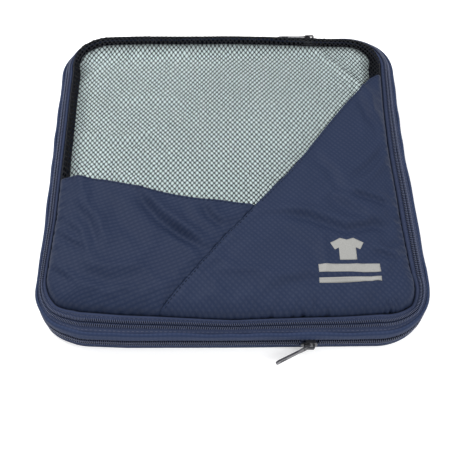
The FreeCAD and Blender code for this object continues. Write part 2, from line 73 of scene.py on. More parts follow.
half_w, half_l = box_mm("comp_coil_low")[1][:2]
CORNER = 40.0
flat_x, flat_y = half_w - CORNER, half_l - CORNER
bend = CORNER * math.pi / 2
round_run = 4 * (flat_x + flat_y + bend)
rear_run = flat_x + 2 * flat_y + 2 * bend
comp_z = (box_mm("comp_coil_low")[1][2] + box_mm("comp_coil_up")[0][2]) / 2
rim_z = box_mm("main_tape_up")[1][2]
rim_inset = half_w - box_mm("mesh_window")[1][0]
crown = box_mm("mesh_window")[1][2] - rim_z
slider_x = middle_x("comp_slider")
park_x = middle_x("main_slider")
COIL_PAST_SLIDER = 6.3
coil_end_x = park_x + COIL_PAST_SLIDER
tab_low_x, tab_high_x = 39.0, box_mm("zip_end_tabs")[1][0]
hinge_x = box_mm("hinge_strip")[1][0]

# The shoulder is the slope between the wall and the rim. It carries the main zipper, whose
# chain lies CHAIN_ALONG up the slope.
SLOPE = math.radians(30)
SHOULDER = 12.0
CHAIN_ALONG = 6.0
fold_inset = rim_inset - 0.1 - SHOULDER * math.cos(SLOPE)
fold_z = rim_z + 0.05 - SHOULDER * math.sin(SLOPE)


def rear_at(x):
    """Run of the point of the rear side at x."""
    return rear_run + flat_x - x


def right_at(y):
    """Run of the point of the right side at y."""
    return flat_x + bend + flat_y + y


def left_at(y):
    """Run of the point of the left side at y."""
    return round_run - right_at(y)


# ---------------------------------------------------------------- outline

def outline_table():
    """Runs round the outer outline, with the plan position and outward normal at each."""
    arc = np.linspace(0, math.pi / 2, 200)
    runs, points, normals = [], [], []
    start = 0.0
    straight = ((0, -half_l, flat_x, -half_l), (half_w, -flat_y, half_w, flat_y),
                (flat_x, half_l, -flat_x, half_l), (-half_w, flat_y, -half_w, -flat_y),
                (-flat_x, -half_l, 0, -half_l))
    corners = ((flat_x, -flat_y), (flat_x, flat_y), (-flat_x, flat_y), (-flat_x, -flat_y))
    for index, (x0, y0, x1, y1) in enumerate(straight):
        length = math.hypot(x1 - x0, y1 - y0)
        share = np.linspace(0, 1, 100)
        angle = (index - 1) * math.pi / 2
        runs.append(start + share * length)
        points.append(np.stack([x0 + share * (x1 - x0), y0 + share * (y1 - y0)], 1))
        normals.append(np.tile([math.cos(angle), math.sin(angle)], (100, 1)))
        start += length
        if index < len(corners):
            turn = arc + angle
            out = np.stack([np.cos(turn), np.sin(turn)], 1)
            runs.append(start + arc * CORNER)
            points.append(np.array(corners[index]) + out * CORNER)
            normals.append(out)
            start += bend
    return np.concatenate(runs), np.concatenate(points), np.concatenate(normals)


RUNS, POINTS, NORMALS = outline_table()


def outline(run, inset):
    """Plan position and outward normal at a run and an inset."""
    run = np.mod(run, round_run)
    normal = np.stack([np.interp(run, RUNS, NORMALS[:, k]) for k in (0, 1)], -1)
    point = np.stack([np.interp(run, RUNS, POINTS[:, k]) for k in (0, 1)], -1)
    return point - normal * np.asarray(inset)[..., None], normal


def locate(x, y):
    """Run and inset of plan positions: the inverse of outline()."""
    near_x, near_y = np.clip(x, -flat_x, flat_x), np.clip(y, -flat_y, flat_y)
    dx, dy = x - near_x, y - near_y
    reach = np.hypot(dx, dy)
    angle = np.mod(np.arctan2(dy, dx), 2 * math.pi)
    quarter = math.pi / 2
    corner = np.floor(angle / quarter)
    first = flat_x + np.array([bend + 2 * flat_y, 2 * (bend + flat_y) + 2 * flat_x,
                               3 * bend + 4 * flat_y + 2 * flat_x, 0.0])
    inside = reach < 1e-6
    run = first[corner.astype(int) % 4] + (angle - corner * quarter) * CORNER
    run = np.where((dx == 0) & (dy < 0), x, run)
    run = np.where((dy == 0) & (dx > 0), flat_x + bend + y + flat_y, run)
    run = np.where((dx == 0) & (dy > 0), rear_run + flat_x - x, run)
    run = np.where((dy == 0) & (dx < 0), rear_run + 2 * flat_x + bend + flat_y - y, run)
    deep = CORNER + np.minimum(flat_x - np.abs(x), flat_y - np.abs(y))
    return np.mod(run, round_run), np.where(inside, deep, CORNER - reach)


def smooth(value):
    """Eases from 0 to 1 as the value goes from 0 to 1, and holds outside."""
    value = np.clip(value, 0, 1)
    return value * value * (3 - 2 * value)


def bump(value, centre, width):
    """A hump that is 1 at the centre and fades within about twice the width."""
    return np.exp(-((value - centre) / width) ** 2)


def run_gap(run, centre):
    """Signed distance along the outline from a centre, the short way round."""
    return np.mod(run - centre + round_run / 2, round_run) - round_run / 2


def near_run(run, centre, width):
    """A hump along the outline, 1 at the centre."""
    return np.exp(-(run_gap(run, centre) / width) ** 2)


# Slow waves round the outline: count of waves, size, phase.
WAVES = [(3, 0.45, 0.3), (5, 0.35, 1.9), (8, 0.25, 4.0), (13, 0.15, 2.2)]


def waves(run, shift):
    """Sum of the slow waves at a run. The shift gives another set of phases."""
    turn = 2 * math.pi * run / round_run
    return sum(size * np.sin(count * turn + phase * shift) for count, size, phase in WAVES)


# How the sewn rim leans: run, outward shift of the wall, outward shift and lift of the rim, and
# how far the slope between them bows out.
FRONT_RIGHT, REAR_RIGHT = flat_x + bend / 2, rear_run - bend / 2
REAR_LEFT, FRONT_LEFT = round_run - REAR_RIGHT, round_run - FRONT_RIGHT
left_corner = round_run - flat_x
LEAN = np.array([
    (0, 0, 3.0, 0, 0), (60, 0, 2.0, 0, 0), (flat_x, 0, 0.6, 0, 0),
    (FRONT_RIGHT, -0.2, 3.0, -1.2, 0.6), (right_at(-flat_y), -2.8, -2.8, 0, 0),
    (right_at(-48), -3.2, -4.5, 0, 0), (right_at(2), -3.6, -4.5, 0, 0),
    (right_at(52), -4.0, -4.0, 0, 0), (right_at(flat_y), -2.8, -2.2, 0, 0),
    (REAR_RIGHT, -0.5, 1.2, 0.6, 0), (rear_at(park_x + 26), 0, 2.4, 1.4, 0),
    (rear_at(park_x - 9), 0, 3.4, 2.0, 0), (rear_at(44), 0, 4.0, 2.2, 0),
    (rear_at(0), 0, 5.5, 3.2, 0), (rear_at(-65), 0.3, 6.0, 3.2, 0),
    (rear_at(-flat_x), 0.6, 5.5, 2.8, 0), (REAR_LEFT, -0.4, 5.2, 2.0, 0),
    (left_at(flat_y), -2.5, 0.5, 0.3, 0), (left_at(43), -3.2, -0.5, 0, 0),
    (left_at(0), -3.6, -0.8, 0, 0), (left_at(-47), -4.2, -0.8, 0, 0),
    (left_at(-flat_y), -3.6, 0.8, 0, 0.3), (FRONT_LEFT, -1.6, 0.8, 0, 0.6),
    (left_corner - 14, -2.4, -2.4, 0, 0.4), (left_corner, -1.9, -2.6, 0, 0.2),
    (left_corner + 25, -0.6, -0.6, 0, 0), (round_run, 0, 3.0, 0, 0)])


# The lean of the rim grows over LEAN_OVER from LEAN_ABOVE over the lower chain.
LEAN_ABOVE, LEAN_OVER = 4.0, 8.0
# The slow waves. They stop at the sliders, and below LOW_ABOVE along the lower slider's track.
SLACK = 0.8
LOW_ABOVE, LOW_OVER = 5.0, 5.0
TRACK_MIDDLE = slider_x - 69
TRACK_REACH, TRACK_FADE = 88.0, 12.0
SLIDER_REACH = 20.0
PARK_MIDDLE, PARK_REACH = rear_at(park_x + 11), 30.0
# Along the parked main slider the rim's lean stays close to the rim.
PARKED_REACH = 22.0


def soften(co):
    """The slack of sewn cloth: the rim leans and wanders a little round the wall."""
    x, y, z = co[:, 0], co[:, 1], co[:, 2]
    run, inset = locate(x, y)
    normal = outline(run, inset)[1]
    wall, rim, lift, bow = (np.interp(run, LEAN[:, 0], LEAN[:, k]) for k in (1, 2, 3, 4))
    upper = smooth((z - comp_z - LEAN_ABOVE) / LEAN_OVER)
    share = np.clip((inset - fold_inset) / (rim_inset - fold_inset), 0, 1) * upper
    share = share ** (1 + 2 * near_run(run, rear_at(park_x), PARKED_REACH))
    fade = 1 - smooth((inset - rim_inset) / (CORNER - rim_inset))
    free = ((1 - near_run(run, slider_x, SLIDER_REACH))
            * (1 - near_run(run, PARK_MIDDLE, PARK_REACH)))
    height = np.clip(z / rim_z, 0, 1)
    low = 1 - smooth((z - comp_z - LOW_ABOVE) / LOW_OVER)
    on_track = smooth((TRACK_REACH - np.abs(run_gap(run, TRACK_MIDDLE))) / TRACK_FADE)
    loose = free * height * SLACK * (1 - low * on_track)
    arch = bow * np.sin(math.pi * share)
    out = wall + (rim - wall) * share + arch + loose * waves(run, 1.0)
    up = lift * share + 0.5 * arch + loose * waves(run, 2.3)
    moved = co.copy()
    moved[:, :2] += normal * (out * fade)[:, None]
    moved[:, 2] += up * fade
    return moved


# ---------------------------------------------------------------- meshes

def link(name, data):
    """New object in the scene."""
    obj = bpy.data.objects.new(name, data)
    bpy.context.scene.collection.objects.link(obj)
    return obj


def make(name, verts, faces, material, body, stands_for=(), uv=None, shade=True):
    """Object from millimetre points that rides on a body and stands for CAD nodes."""
    verts = soften(np.asarray(verts, float))
    mesh = bpy.data.meshes.new(name)
    mesh.from_pydata((verts * MM).tolist(), [], [tuple(face) for face in faces])
    if uv is not None:
        layer = mesh.uv_layers.new(name="cloth")
        layer.data.foreach_set("uv", np.asarray(uv, np.float32).ravel())
    mesh.materials.append(material)
    obj = link(name, mesh)
    fix_normals(mesh)
    if shade:
        mesh.shade_smooth()
    if body:
        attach(obj, body)
    if stands_for:
        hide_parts(*stands_for)
    return obj


def fix_normals(mesh):
    """Turns all faces outward."""
    work = bmesh.new()
    work.from_mesh(mesh)
    bmesh.ops.recalc_face_normals(work, faces=work.faces)
    work.to_mesh(mesh)
    work.free()


def thicken(obj, name, thickness, offset):
    """Gives a sheet its thickness. Offset 0 is both ways, -1 is downward."""
    thick = obj.modifiers.new(name, "SOLIDIFY")
    thick.thickness = thickness * MM
    thick.offset = offset


def face_up(obj):
    """Turns a sheet's faces upward."""
    if sum(p.normal.z for p in obj.data.polygons) < 0:
        obj.data.flip_normals()


STRIP_CAP = 0.3


def strip(points, thickness):
    """Closed section of an even strip along a bent centre line of (inset, height) points."""
    points = np.array(points, float)
    along = np.gradient(points, axis=0)
    along /= np.linalg.norm(along, axis=1)[:, None]
    side = np.stack([-along[:, 1], along[:, 0]], 1) * thickness / 2
    cap = thickness * STRIP_CAP
    return np.concatenate([[points[0] - along[0] * cap], points + side,
                           [points[-1] + along[-1] * cap], (points - side)[::-1]])


def round_section(centre, radius, sides):
    """Round section about an (inset, height) point."""
    turn = np.linspace(0, 2 * math.pi, sides, endpoint=False)
    return np.stack([centre[0] + radius * np.cos(turn), centre[1] + radius * np.sin(turn)], 1)


def fine(points, pieces=4):
    """Rounds a centre line off: Catmull-Rom through its points."""
    points = np.array(points, float)
    padded = np.concatenate([[2 * points[0] - points[1]], points, [2 * points[-1] - points[-2]]])
    out = []
    for k in range(1, len(padded) - 2):
        a, b, c, d = padded[k - 1:k + 3]
        for s in np.linspace(0, 1, pieces, endpoint=False):
            out.append(0.5 * (2 * b + (c - a) * s + (2 * a - 5 * b + 4 * c - d) * s ** 2
                              + (3 * b - a - 3 * c + d) * s ** 3))
    out.append(padded[-2])
    return np.array(out)


def sweep(section, start, stop, step, closed=False, ripple=None):
    """Points, faces and loop UVs of a section carried along the outline."""
    count = max(int(round((stop - start) / step)), 2)
    runs = np.linspace(start, stop, count + 1)[:count if closed else count + 1]
    sides = len(section)
    inset = np.tile(section[:, 0], (len(runs), 1))
    if ripple is not None:
        inset = inset - ripple(runs[:, None], np.arange(sides)[None, :] / sides)
    point, _ = outline(runs[:, None], inset)
    height = np.tile(section[:, 1], (len(runs), 1))
    verts = np.concatenate([point, height[..., None]], -1).reshape(-1, 3)
    around = np.concatenate([[0], np.cumsum(np.linalg.norm(
        np.roll(section, -1, 0) - section, axis=1))])
    faces, uv = [], []
    for i in range(count):
        a, b = i * sides, ((i + 1) % len(runs)) * sides
        u0, u1 = start + i * step, start + (i + 1) * step
        for j in range(sides):
            k = (j + 1) % sides
            faces.append((a + j, a + k, b + k, b + j))
            uv += [(u0, around[j]), (u0, around[j + 1]), (u1, around[j + 1]), (u1, around[j])]
    if not closed:
        last = (len(runs) - 1) * sides
        for base, order in ((0, range(sides)), (last, reversed(range(sides)))):
            loop = [base + j for j in order]
            faces.append(tuple(loop))
            uv += [(0, 0)] * sides
    return verts, faces, np.array(uv) * MM


SWEEP_STEP = 2.0


def ribbon(name, points, thickness, material, body, stands_for, span=None, ripple=None):
    """A sewn strip that runs round the outline, or over one span of it."""
    section = strip(fine(points), thickness)
    start, stop, closed = (0, round_run, True) if span is None else (*span, False)
    verts, faces, uv = sweep(section, start, stop, SWEEP_STEP, closed, ripple)
    make(name, verts, faces, material, body, stands_for, uv)


def flat_bar(top, thickness):
    """Points and faces of a closed strip, from its top side as (places, 4 points across)."""
    verts = np.concatenate([top, top - np.array([0, 0, thickness])], 1).reshape(-1, 3)
    ring = [0, 1, 2, 3, 7, 6, 5, 4]
    around = len(ring)
    last = len(top) - 1
    faces = []
    for k in range(last):
        for a, b in zip(ring, ring[1:] + ring[:1]):
            faces.append((k * around + a, k * around + b, (k + 1) * around + b,
                          (k + 1) * around + a))
    for base in (0, last * around):
        faces.append(tuple(base + s for s in ring))
    return verts, faces


def shoulder(along, lift):
    """Inset and height of a point on the shoulder, from its fold and off its surface."""
    return (fold_inset + along * math.cos(SLOPE) - lift * math.sin(SLOPE),
            fold_z + along * math.sin(SLOPE) + lift * math.cos(SLOPE))


BEAD_RINGS, BEAD_SIDES = 4, 6
BEAD_FULL, BEAD_POWER = 2.6, 0.75


def bead_shape():
    """Unit bead: long rounded body between two poles on the Y axis."""
    rings, sides = BEAD_RINGS, BEAD_SIDES
    verts = [(0, -0.5, 0)]
    for k in range(rings):
        y = math.cos(math.pi * (k + 0.7) / (rings + 0.4))
        radius = 0.5 * (1 - abs(y) ** BEAD_FULL) ** BEAD_POWER
        for s in range(sides):
            turn = 2 * math.pi * s / sides
            verts.append((radius * math.cos(turn), -0.5 * y, radius * math.sin(turn)))
    verts.append((0, 0.5, 0))
    faces = [(0, 1 + s, 1 + (s + 1) % sides) for s in range(sides)]
    for k in range(rings - 1):
        a, b = 1 + k * sides, 1 + (k + 1) * sides
        faces += [(a + s, b + s, b + (s + 1) % sides, a + (s + 1) % sides)
                  for s in range(sides)]
    last, end = 1 + (rings - 1) * sides, len(verts) - 1
    faces += [(last + s, end, last + (s + 1) % sides) for s in range(sides)]
    return np.array(verts), faces


def beads(runs, centre, across, size, tilt):
    """Copies of a bead along the outline. across is the bead's long axis as (outward, up)."""
    verts, faces = bead_shape()
    point, normal = outline(runs, np.full(len(runs), centre[0]))
    zero = np.zeros(len(runs))
    along = np.stack([-normal[:, 1], normal[:, 0], zero], 1)
    out = np.stack([normal[:, 0], normal[:, 1], zero], 1)
    up = np.array([0, 0, 1.0])
    long_axis = out * across[0] + up * across[1]
    lift = np.cross(along, long_axis)
    turned = long_axis * math.cos(tilt) + along * math.sin(tilt)
    wide = along * math.cos(tilt) - long_axis * math.sin(tilt)
    origin = np.concatenate([point, np.full((len(runs), 1), centre[1])], 1)
    co = (origin[:, None] + wide[:, None] * (verts[:, 0] * size[0])[None, :, None]
          + turned[:, None] * (verts[:, 1] * size[1])[None, :, None]
          + lift[:, None] * (verts[:, 2] * size[2])[None, :, None])
    count = len(verts)
    many = [tuple(v + i * count for v in face) for i in range(len(runs)) for face in faces]
    return co.reshape(-1, 3), many


def join(parts):
    """Several pairs of points and faces as one."""
    verts, faces, base = [], [], 0
    for part_verts, part_faces in parts:
        verts.append(part_verts)
        faces += [tuple(v + base for v in face) for face in part_faces]
        base += len(part_verts)
    return np.concatenate(verts), faces


# ---------------------------------------------------------------- materials

NAVY = (0.0200, 0.0276, 0.0550)


def shade(colour, share):
    """A colour made darker or lighter."""
    return tuple(min(c * share, 1) for c in colour)


def new_material(name):
    """Empty node material, with its nodes and links."""
    material = bpy.data.materials.new(name)
    material.use_nodes = True
    return material, material.node_tree.nodes, material.node_tree.links


def math_node(nodes, links, kind, a, b):
    """Output of a maths node on sockets or numbers."""
    node = nodes.new("ShaderNodeMath")
    node.operation = kind
    for slot, value in enumerate((a, b)):
        if value is None:
            continue
        if isinstance(value, (int, float)):
            node.inputs[slot].default_value = value
        else:
            links.new(value, node.inputs[slot])
    return node.outputs[0]


def noise_node(nodes, links, vector, scale, detail):
    """Output of a noise texture at a scale per metre."""
    node = nodes.new("ShaderNodeTexNoise")
    node.inputs["Scale"].default_value = scale
    node.inputs["Detail"].default_value = detail
    links.new(vector, node.inputs["Vector"])
    return node.outputs["Fac"]


def mix_colour(nodes, links, factor, first, second):
    """Output of a mix of two colours or colour sockets."""
    node = nodes.new("ShaderNodeMix")
    node.data_type = "RGBA"
    links.new(factor, node.inputs["Factor"])
    for socket, colour in ((node.inputs[6], first), (node.inputs[7], second)):
        if isinstance(colour, tuple):
            socket.default_value = (*colour, 1)
        else:
            links.new(colour, socket)
    return node.outputs[2]


def line_wave(nodes, links, value, pitch, width):
    """1 on thin lines every pitch, 0 between them. The width is a share of the pitch."""
    phase = math_node(nodes, links, "MULTIPLY", value, 1 / pitch)
    ping = math_node(nodes, links, "PINGPONG", phase, 0.5)
    node = nodes.new("ShaderNodeMapRange")
    node.interpolation_type = "SMOOTHSTEP"
    node.inputs["From Min"].default_value = width * 1.6
    node.inputs["From Max"].default_value = width * 0.4
    links.new(ping, node.inputs["Value"])
    return node.outputs[0]


UNEVEN_SCALE = 70
UNEVEN_SHIFT = (0.0022, 0.0016, 0)


def cloth_coordinates(nodes, links, angle):
    """Place on the object and along the two thread directions, a little uneven as woven."""
    source = nodes.new("ShaderNodeTexCoord")
    uneven = noise_node(nodes, links, source.outputs["UV"], UNEVEN_SCALE, 2)
    shift = nodes.new("ShaderNodeVectorMath")
    shift.operation = "MULTIPLY_ADD"
    links.new(uneven, shift.inputs[0])
    shift.inputs[1].default_value = UNEVEN_SHIFT
    links.new(source.outputs["UV"], shift.inputs[2])
    mapping = nodes.new("ShaderNodeMapping")
    mapping.inputs["Rotation"].default_value = (0, 0, math.radians(angle))
    links.new(shift.outputs[0], mapping.inputs["Vector"])
    split = nodes.new("ShaderNodeSeparateXYZ")
    links.new(mapping.outputs[0], split.inputs[0])
    return source.outputs["Object"], split.outputs[0], split.outputs[1]


RELIEF = 0.4


def finish_fabric(nodes, links, colour, height, rough, shine, distance):
    """Colour, shine and woven relief of a cloth."""
    shader = nodes["Principled BSDF"]
    links.new(colour, shader.inputs["Base Color"])
    shader.inputs["Roughness"].default_value = rough
    shader.inputs["Specular IOR Level"].default_value = shine
    relief = nodes.new("ShaderNodeBump")
    relief.inputs["Strength"].default_value = RELIEF
    relief.inputs["Distance"].default_value = distance
    links.new(height, relief.inputs["Height"])
    links.new(relief.outputs[0], shader.inputs["Normal"])


# Ripstop: share of each colour channel in the thick threads, their width as a share of the
# pitch, the rate of the fine weave, and the darkest and lightest tone of the cloudy ground.
THREAD_SHADE = (0.52, 0.66, 0.82)
THREAD_WIDTH = 0.24
WEAVE_RATE = 14000
WEAVE_DEPTH = 0.2
CLOUD_LOW, CLOUD_HIGH = 0.92, 1.19


def ripstop(name, angle, colour=NAVY, pitch=(0.0030, 0.0034), shine=0.09, lines=(0.6, 0.6)):
    """Fine plain weave with thicker threads that make small squares."""
    material, nodes, links = new_material(name)

    def maths(kind, a, b=None):
        """Maths node of this material."""
        return math_node(nodes, links, kind, a, b)

    place, u, v = cloth_coordinates(nodes, links, angle)
    threads = [maths("MULTIPLY", line_wave(nodes, links, way, gap, THREAD_WIDTH), depth)
               for way, gap, depth in zip((u, v), pitch, lines)]
    grid = maths("MAXIMUM", *threads)
    over, under = (maths("SINE", maths("MULTIPLY", way, WEAVE_RATE)) for way in (u, v))
    weave = maths("MULTIPLY", over, under)
    cloudy = noise_node(nodes, links, place, 45, 4)
    base = mix_colour(nodes, links, cloudy, shade(colour, CLOUD_LOW), shade(colour, CLOUD_HIGH))
    dark = tuple(c * share for c, share in zip(colour, THREAD_SHADE))
    tint = mix_colour(nodes, links, grid, base, dark)
    relief = maths("SUBTRACT", maths("MULTIPLY", weave, WEAVE_DEPTH), grid)
    finish_fabric(nodes, links, tint, relief, 0.6, shine, 0.00015)
    return material


def tape_cloth(name, colour, pitch=0.0007, angle=45):
    """Woven zipper tape or binding: close slanting ribs."""
    material, nodes, links = new_material(name)
    place, u = cloth_coordinates(nodes, links, angle)[:2]
    rib = line_wave(nodes, links, u, pitch, 0.25)
    cloudy = noise_node(nodes, links, place, 120, 4)
    base = mix_colour(nodes, links, cloudy, shade(colour, 0.8), shade(colour, 1.2))
    tint = mix_colour(nodes, links, math_node(nodes, links, "MULTIPLY", rib, 0.4), base,
                      shade(colour, 1.5))
    finish_fabric(nodes, links, tint, rib, 0.85, 0.05, 0.0001)
    return material


GRAIN_RELIEF = 0.00003
GRAIN_ROUGH = 0.15


def plain(name, colour, rough, metallic=0.0, grain=400.0, spread=0.15, specular=0.5):
    """Nylon, metal or print: one colour with fine grain in colour, roughness and relief."""
    material, nodes, links = new_material(name)
    place = nodes.new("ShaderNodeTexCoord").outputs["Object"]
    fleck = noise_node(nodes, links, place, grain, 4)
    shader = nodes["Principled BSDF"]
    tint = mix_colour(nodes, links, fleck, shade(colour, 1 - spread), shade(colour, 1 + spread))
    links.new(tint, shader.inputs["Base Color"])
    ranged = nodes.new("ShaderNodeMapRange")
    ranged.inputs["To Min"].default_value = rough * (1 - GRAIN_ROUGH)
    ranged.inputs["To Max"].default_value = rough * (1 + GRAIN_ROUGH)
    links.new(fleck, ranged.inputs["Value"])
    links.new(ranged.outputs[0], shader.inputs["Roughness"])
    shader.inputs["Metallic"].default_value = metallic
    shader.inputs["Specular IOR Level"].default_value = specular
    bumps = nodes.new("ShaderNodeBump")
    bumps.inputs["Distance"].default_value = GRAIN_RELIEF
    bumps.inputs["Strength"].default_value = 0.5
    links.new(fleck, bumps.inputs["Height"])
    links.new(bumps.outputs[0], shader.inputs["Normal"])
    return material


# Left panel: the navy is painted 6 per cent darker. This is painted shade that evens out the key
# light falling on the left.
shaded_left_cloth = ripstop("ripstop_left_painted_shade", -21, shade(NAVY, 0.94), (0.0033, 0.00275),
                     lines=(0.45, 0.75))
right_cloth = ripstop("ripstop_right", 44, pitch=(0.0028, 0.0028), lines=(0.5, 0.65))
# Wall bands, bottom and hinge: the navy is painted 1.45 times lighter. This is painted light for
# the front light on the wall bands.
lit_band_cloth = ripstop("ripstop_band_painted_light", 0, shade(NAVY, 1.45), shine=0.05)
lining_cloth = ripstop("ripstop_lining", 0, colour=(0.012, 0.016, 0.028))
zip_cloth = tape_cloth("zipper_tape", (0.0290, 0.0380, 0.0740))
binding_cloth = tape_cloth("binding_tape", (0.008, 0.010, 0.018), pitch=0.0011, angle=0)
coil_nylon = plain("coil_nylon", (0.059, 0.075, 0.140), 0.34, specular=0.45)
# Near-black core: a real cord, with painted shade for the dark gaps between the coil's teeth.
core_gap_shade = plain("coil_core_gap_shade", (0.004, 0.005, 0.010), 0.7, specular=0.1)
thread = plain("stitch_thread", (0.05, 0.06, 0.10), 0.6, grain=1500)
# Near-black thread for the stitches beside the lid's seams. It is also painted shade on the cord
# in the rim's groove.
dark_thread_and_groove_shade = plain("seam_thread_and_groove_shade", (0.006, 0.008, 0.015), 0.8, grain=1500, specular=0.1)
net_nylon = plain("net_nylon", (0.006, 0.007, 0.010), 0.7, grain=900, specular=0.15)
print_ink = plain("print_ink", (0.24, 0.24, 0.23), 0.6, grain=1200, spread=0.2)
gunmetal = plain("gunmetal", (0.07, 0.07, 0.08), 0.32, metallic=0.9, grain=700)


# ---------------------------------------------------------------- lid surface

def segment_distance(x, y, line):
    """Distance to a bent line, the side (left positive) and the share of its length."""
    line = np.asarray(line, float)
    best = np.full(x.shape, 1e9)
    side = np.zeros(x.shape)
    share = np.zeros(x.shape)
    lengths = np.linalg.norm(np.diff(line, axis=0), axis=1)
    total = lengths.sum()
    before = 0.0
    for (x0, y0), (x1, y1), length in zip(line[:-1], line[1:], lengths):
        ux, uy = (x1 - x0) / length, (y1 - y0) / length
        along = np.clip((x - x0) * ux + (y - y0) * uy, 0, length)
        px, py = x - x0 - along * ux, y - y0 - along * uy
        gap = np.hypot(px, py)
        closer = gap < best
        best = np.where(closer, gap, best)
        side = np.where(closer, ux * (y - y0) - uy * (x - x0), side)
        share = np.where(closer, (before + along) / total, share)
        before += length
    return best, np.sign(side), share


# The ridge of a fold against its valley: height, distance and width. Both fade at the ends.
RIDGE, RIDGE_AWAY, RIDGE_WIDE = 0.7, 1.7, 1.3
FOLD_FADE = 0.25


def crease(x, y, line, width, depth):
    """A soft fold: a valley on the line with a ridge on its left."""
    gap, side, share = segment_distance(x, y, line)
    offset = gap * side
    ends = smooth(share / FOLD_FADE) * smooth((1 - share) / FOLD_FADE)
    ends = np.where((share <= 0) | (share >= 1), 0, ends)
    ridge = RIDGE * bump(offset, RIDGE_AWAY * width, RIDGE_WIDE * width)
    return ends * depth * (ridge - bump(offset, 0, width))


# The seams of the lid, in plan. They meet at one point.
SEAM_MEET = (16.5, -41.5)
SEAM_LEFT = [(rim_inset - half_w, -14.5), (-109, -15.5), (-97.5, -17.5), (-81, -20.5),
             (-60.5, -26), (-40.5, -31.5), (-20.5, -35.5), (-4, -37.5), SEAM_MEET]
SEAM_RIGHT = [SEAM_MEET, (29.5, -27), (40, -15.5), (54.5, 3), (70.5, 25.5), (88.5, 48.5),
              (101, 62.5), (108, 70.5), (114, 75), (half_w - rim_inset, 79)]
SEAM_FRONT = [SEAM_MEET, (5, -54.5), (-4, -64), (-13, -75), (-21.5, -85.5), (-34.5, -100.5),
              (-47.5, rim_inset - half_l)]

# Folds of the slack cloth, in plan: line, width, depth.
FOLDS = [
    ([(-64, -27), (-61, -36), (-50, -50), (-36, -62), (-18, -74)], 3.6, 3.0),
    ([(-44, -54), (-30, -66), (-14, -78)], 3.0, 1.0),
    ([(-20, -38), (-15, -50), (-4, -60)], 2.8, 2.2),
    ([(-34, -36), (-29, -52), (-12, -66)], 3.2, 1.0),
    ([(-110, -38), (-96, -52), (-88, -74)], 3.6, 1.1),
    ([(-114, -52), (-103, -62), (-98, -80)], 2.6, 1.0),
    ([(-106, -88), (-80, -96), (-52, -92)], 4.5, 1.3),
    ([(-84, -30), (-74, -54), (-52, -76)], 5.0, 0.9),
    ([(26, -46), (52, -52), (77, -62), (95, -58), (112, -63)], 3.4, 2.4),
    ([(118, 8), (103, -6), (84, -22)], 3.4, 1.8),
    ([(62, -34), (80, -46), (96, -55), (112, -62)], 4.5, 1.6),
    ([(56, 2), (70, -14), (78, -38)], 4.5, 1.2),
    ([(96, 54), (102, 34), (116, 22)], 3.6, 1.3),
    ([(20, -102), (52, -97), (88, -101)], 3.6, 1.2),
    ([(30, -60), (52, -74), (58, -94)], 4.5, 0.9),
    ([(116, -70), (106, -73), (98, -71)], 2.4, 1.2),
    ([(-118, -60), (-108, -67), (-99, -73)], 1.8, 1.6),
    ([(-119, -85), (-111, -91), (-103, -97)], 1.8, 1.5),
    ([(80, -31), (88, -34), (98, -37), (113, -42)], 2.2, 2.2),
    ([(90, -77), (101, -81), (114, -85)], 2.0, 1.8),
    ([(-100, 40), (-60, 48), (-20, 40)], 6.0, 0.9),
    ([(-90, 8), (-62, 14), (-44, 2)], 4.0, 1.1),
]

# Gathers where the panel is caught in the rim: run, reach along the rim, height.
GATHERS = [(48, 18, 0.8), (flat_x + 8, 12, 0.8), (16, 14, 0.35), (-60, 30, 0.25),
           (right_at(-64), 26, 1.1), (right_at(6), 30, 0.45), (left_at(-50), 34, 0.5)]


def random_field(count, low, high, seed):
    """Sum of plane waves with random directions, for loose cloth."""
    spin = np.random.default_rng(seed)
    lengths = spin.uniform(low, high, count)
    turns = spin.uniform(0, math.pi, count)
    phases = spin.uniform(0, 2 * math.pi, count)

    def field(x, y):
        """Height of the waves at plan positions, about 1 at most."""
        total = np.zeros_like(x)
        for length, turn, phase in zip(lengths, turns, phases):
            along = x * math.cos(turn) + y * math.sin(turn)
            total += np.sin(2 * math.pi * along / length + phase)
        return total / math.sqrt(count)
    return field


broad_waves = random_field(7, 70, 140, 3)
small_waves = random_field(9, 22, 42, 5)


def pucker(run):
    """Uneven little folds along the rim, about 6, 12 and 20 mm long."""
    return (np.sin(run / 0.95 + 1.5 * np.sin(run / 9)) + 0.7 * np.sin(run / 1.9 + 2)
            + 0.6 * np.sin(run / 3.2 + 1))


LEAST_GATHER = 0.10


def gathers(run):
    """How strongly the cloth is gathered at a run."""
    return LEAST_GATHER + sum(size * near_run(run, place, reach) for place, reach, size in GATHERS)


def run_on_seam(x, y):
    """Distance along the front seam, for the small gathers beside its stitches."""
    share = segment_distance(x, y, SEAM_FRONT)[2]
    return share * 100.0 + 4.0 * np.sin(share * 19.0)


# Rise of the cloth from the rim inward: height and reach of the steep roll beside the seam, of
# the seam's pinch and of the dome, which ends ROLL_SHORT lower than the crown to leave room.
ROLL, ROLL_REACH = 3.2, 1.3
PINCH, PINCH_REACH = 2.6, 0.8
DOME_REACH, ROLL_SHORT = 11.0, 2.8
BROAD, SMALL = 0.55, 0.16
SLACK_DEPTH = 25.0
GATHER_RIDGE, GATHER_DENT = 0.9, 2.0
SEAM_VALLEY, SEAM_GROOVE, SEAM_PUCKER = 0.5, 0.3, 0.35


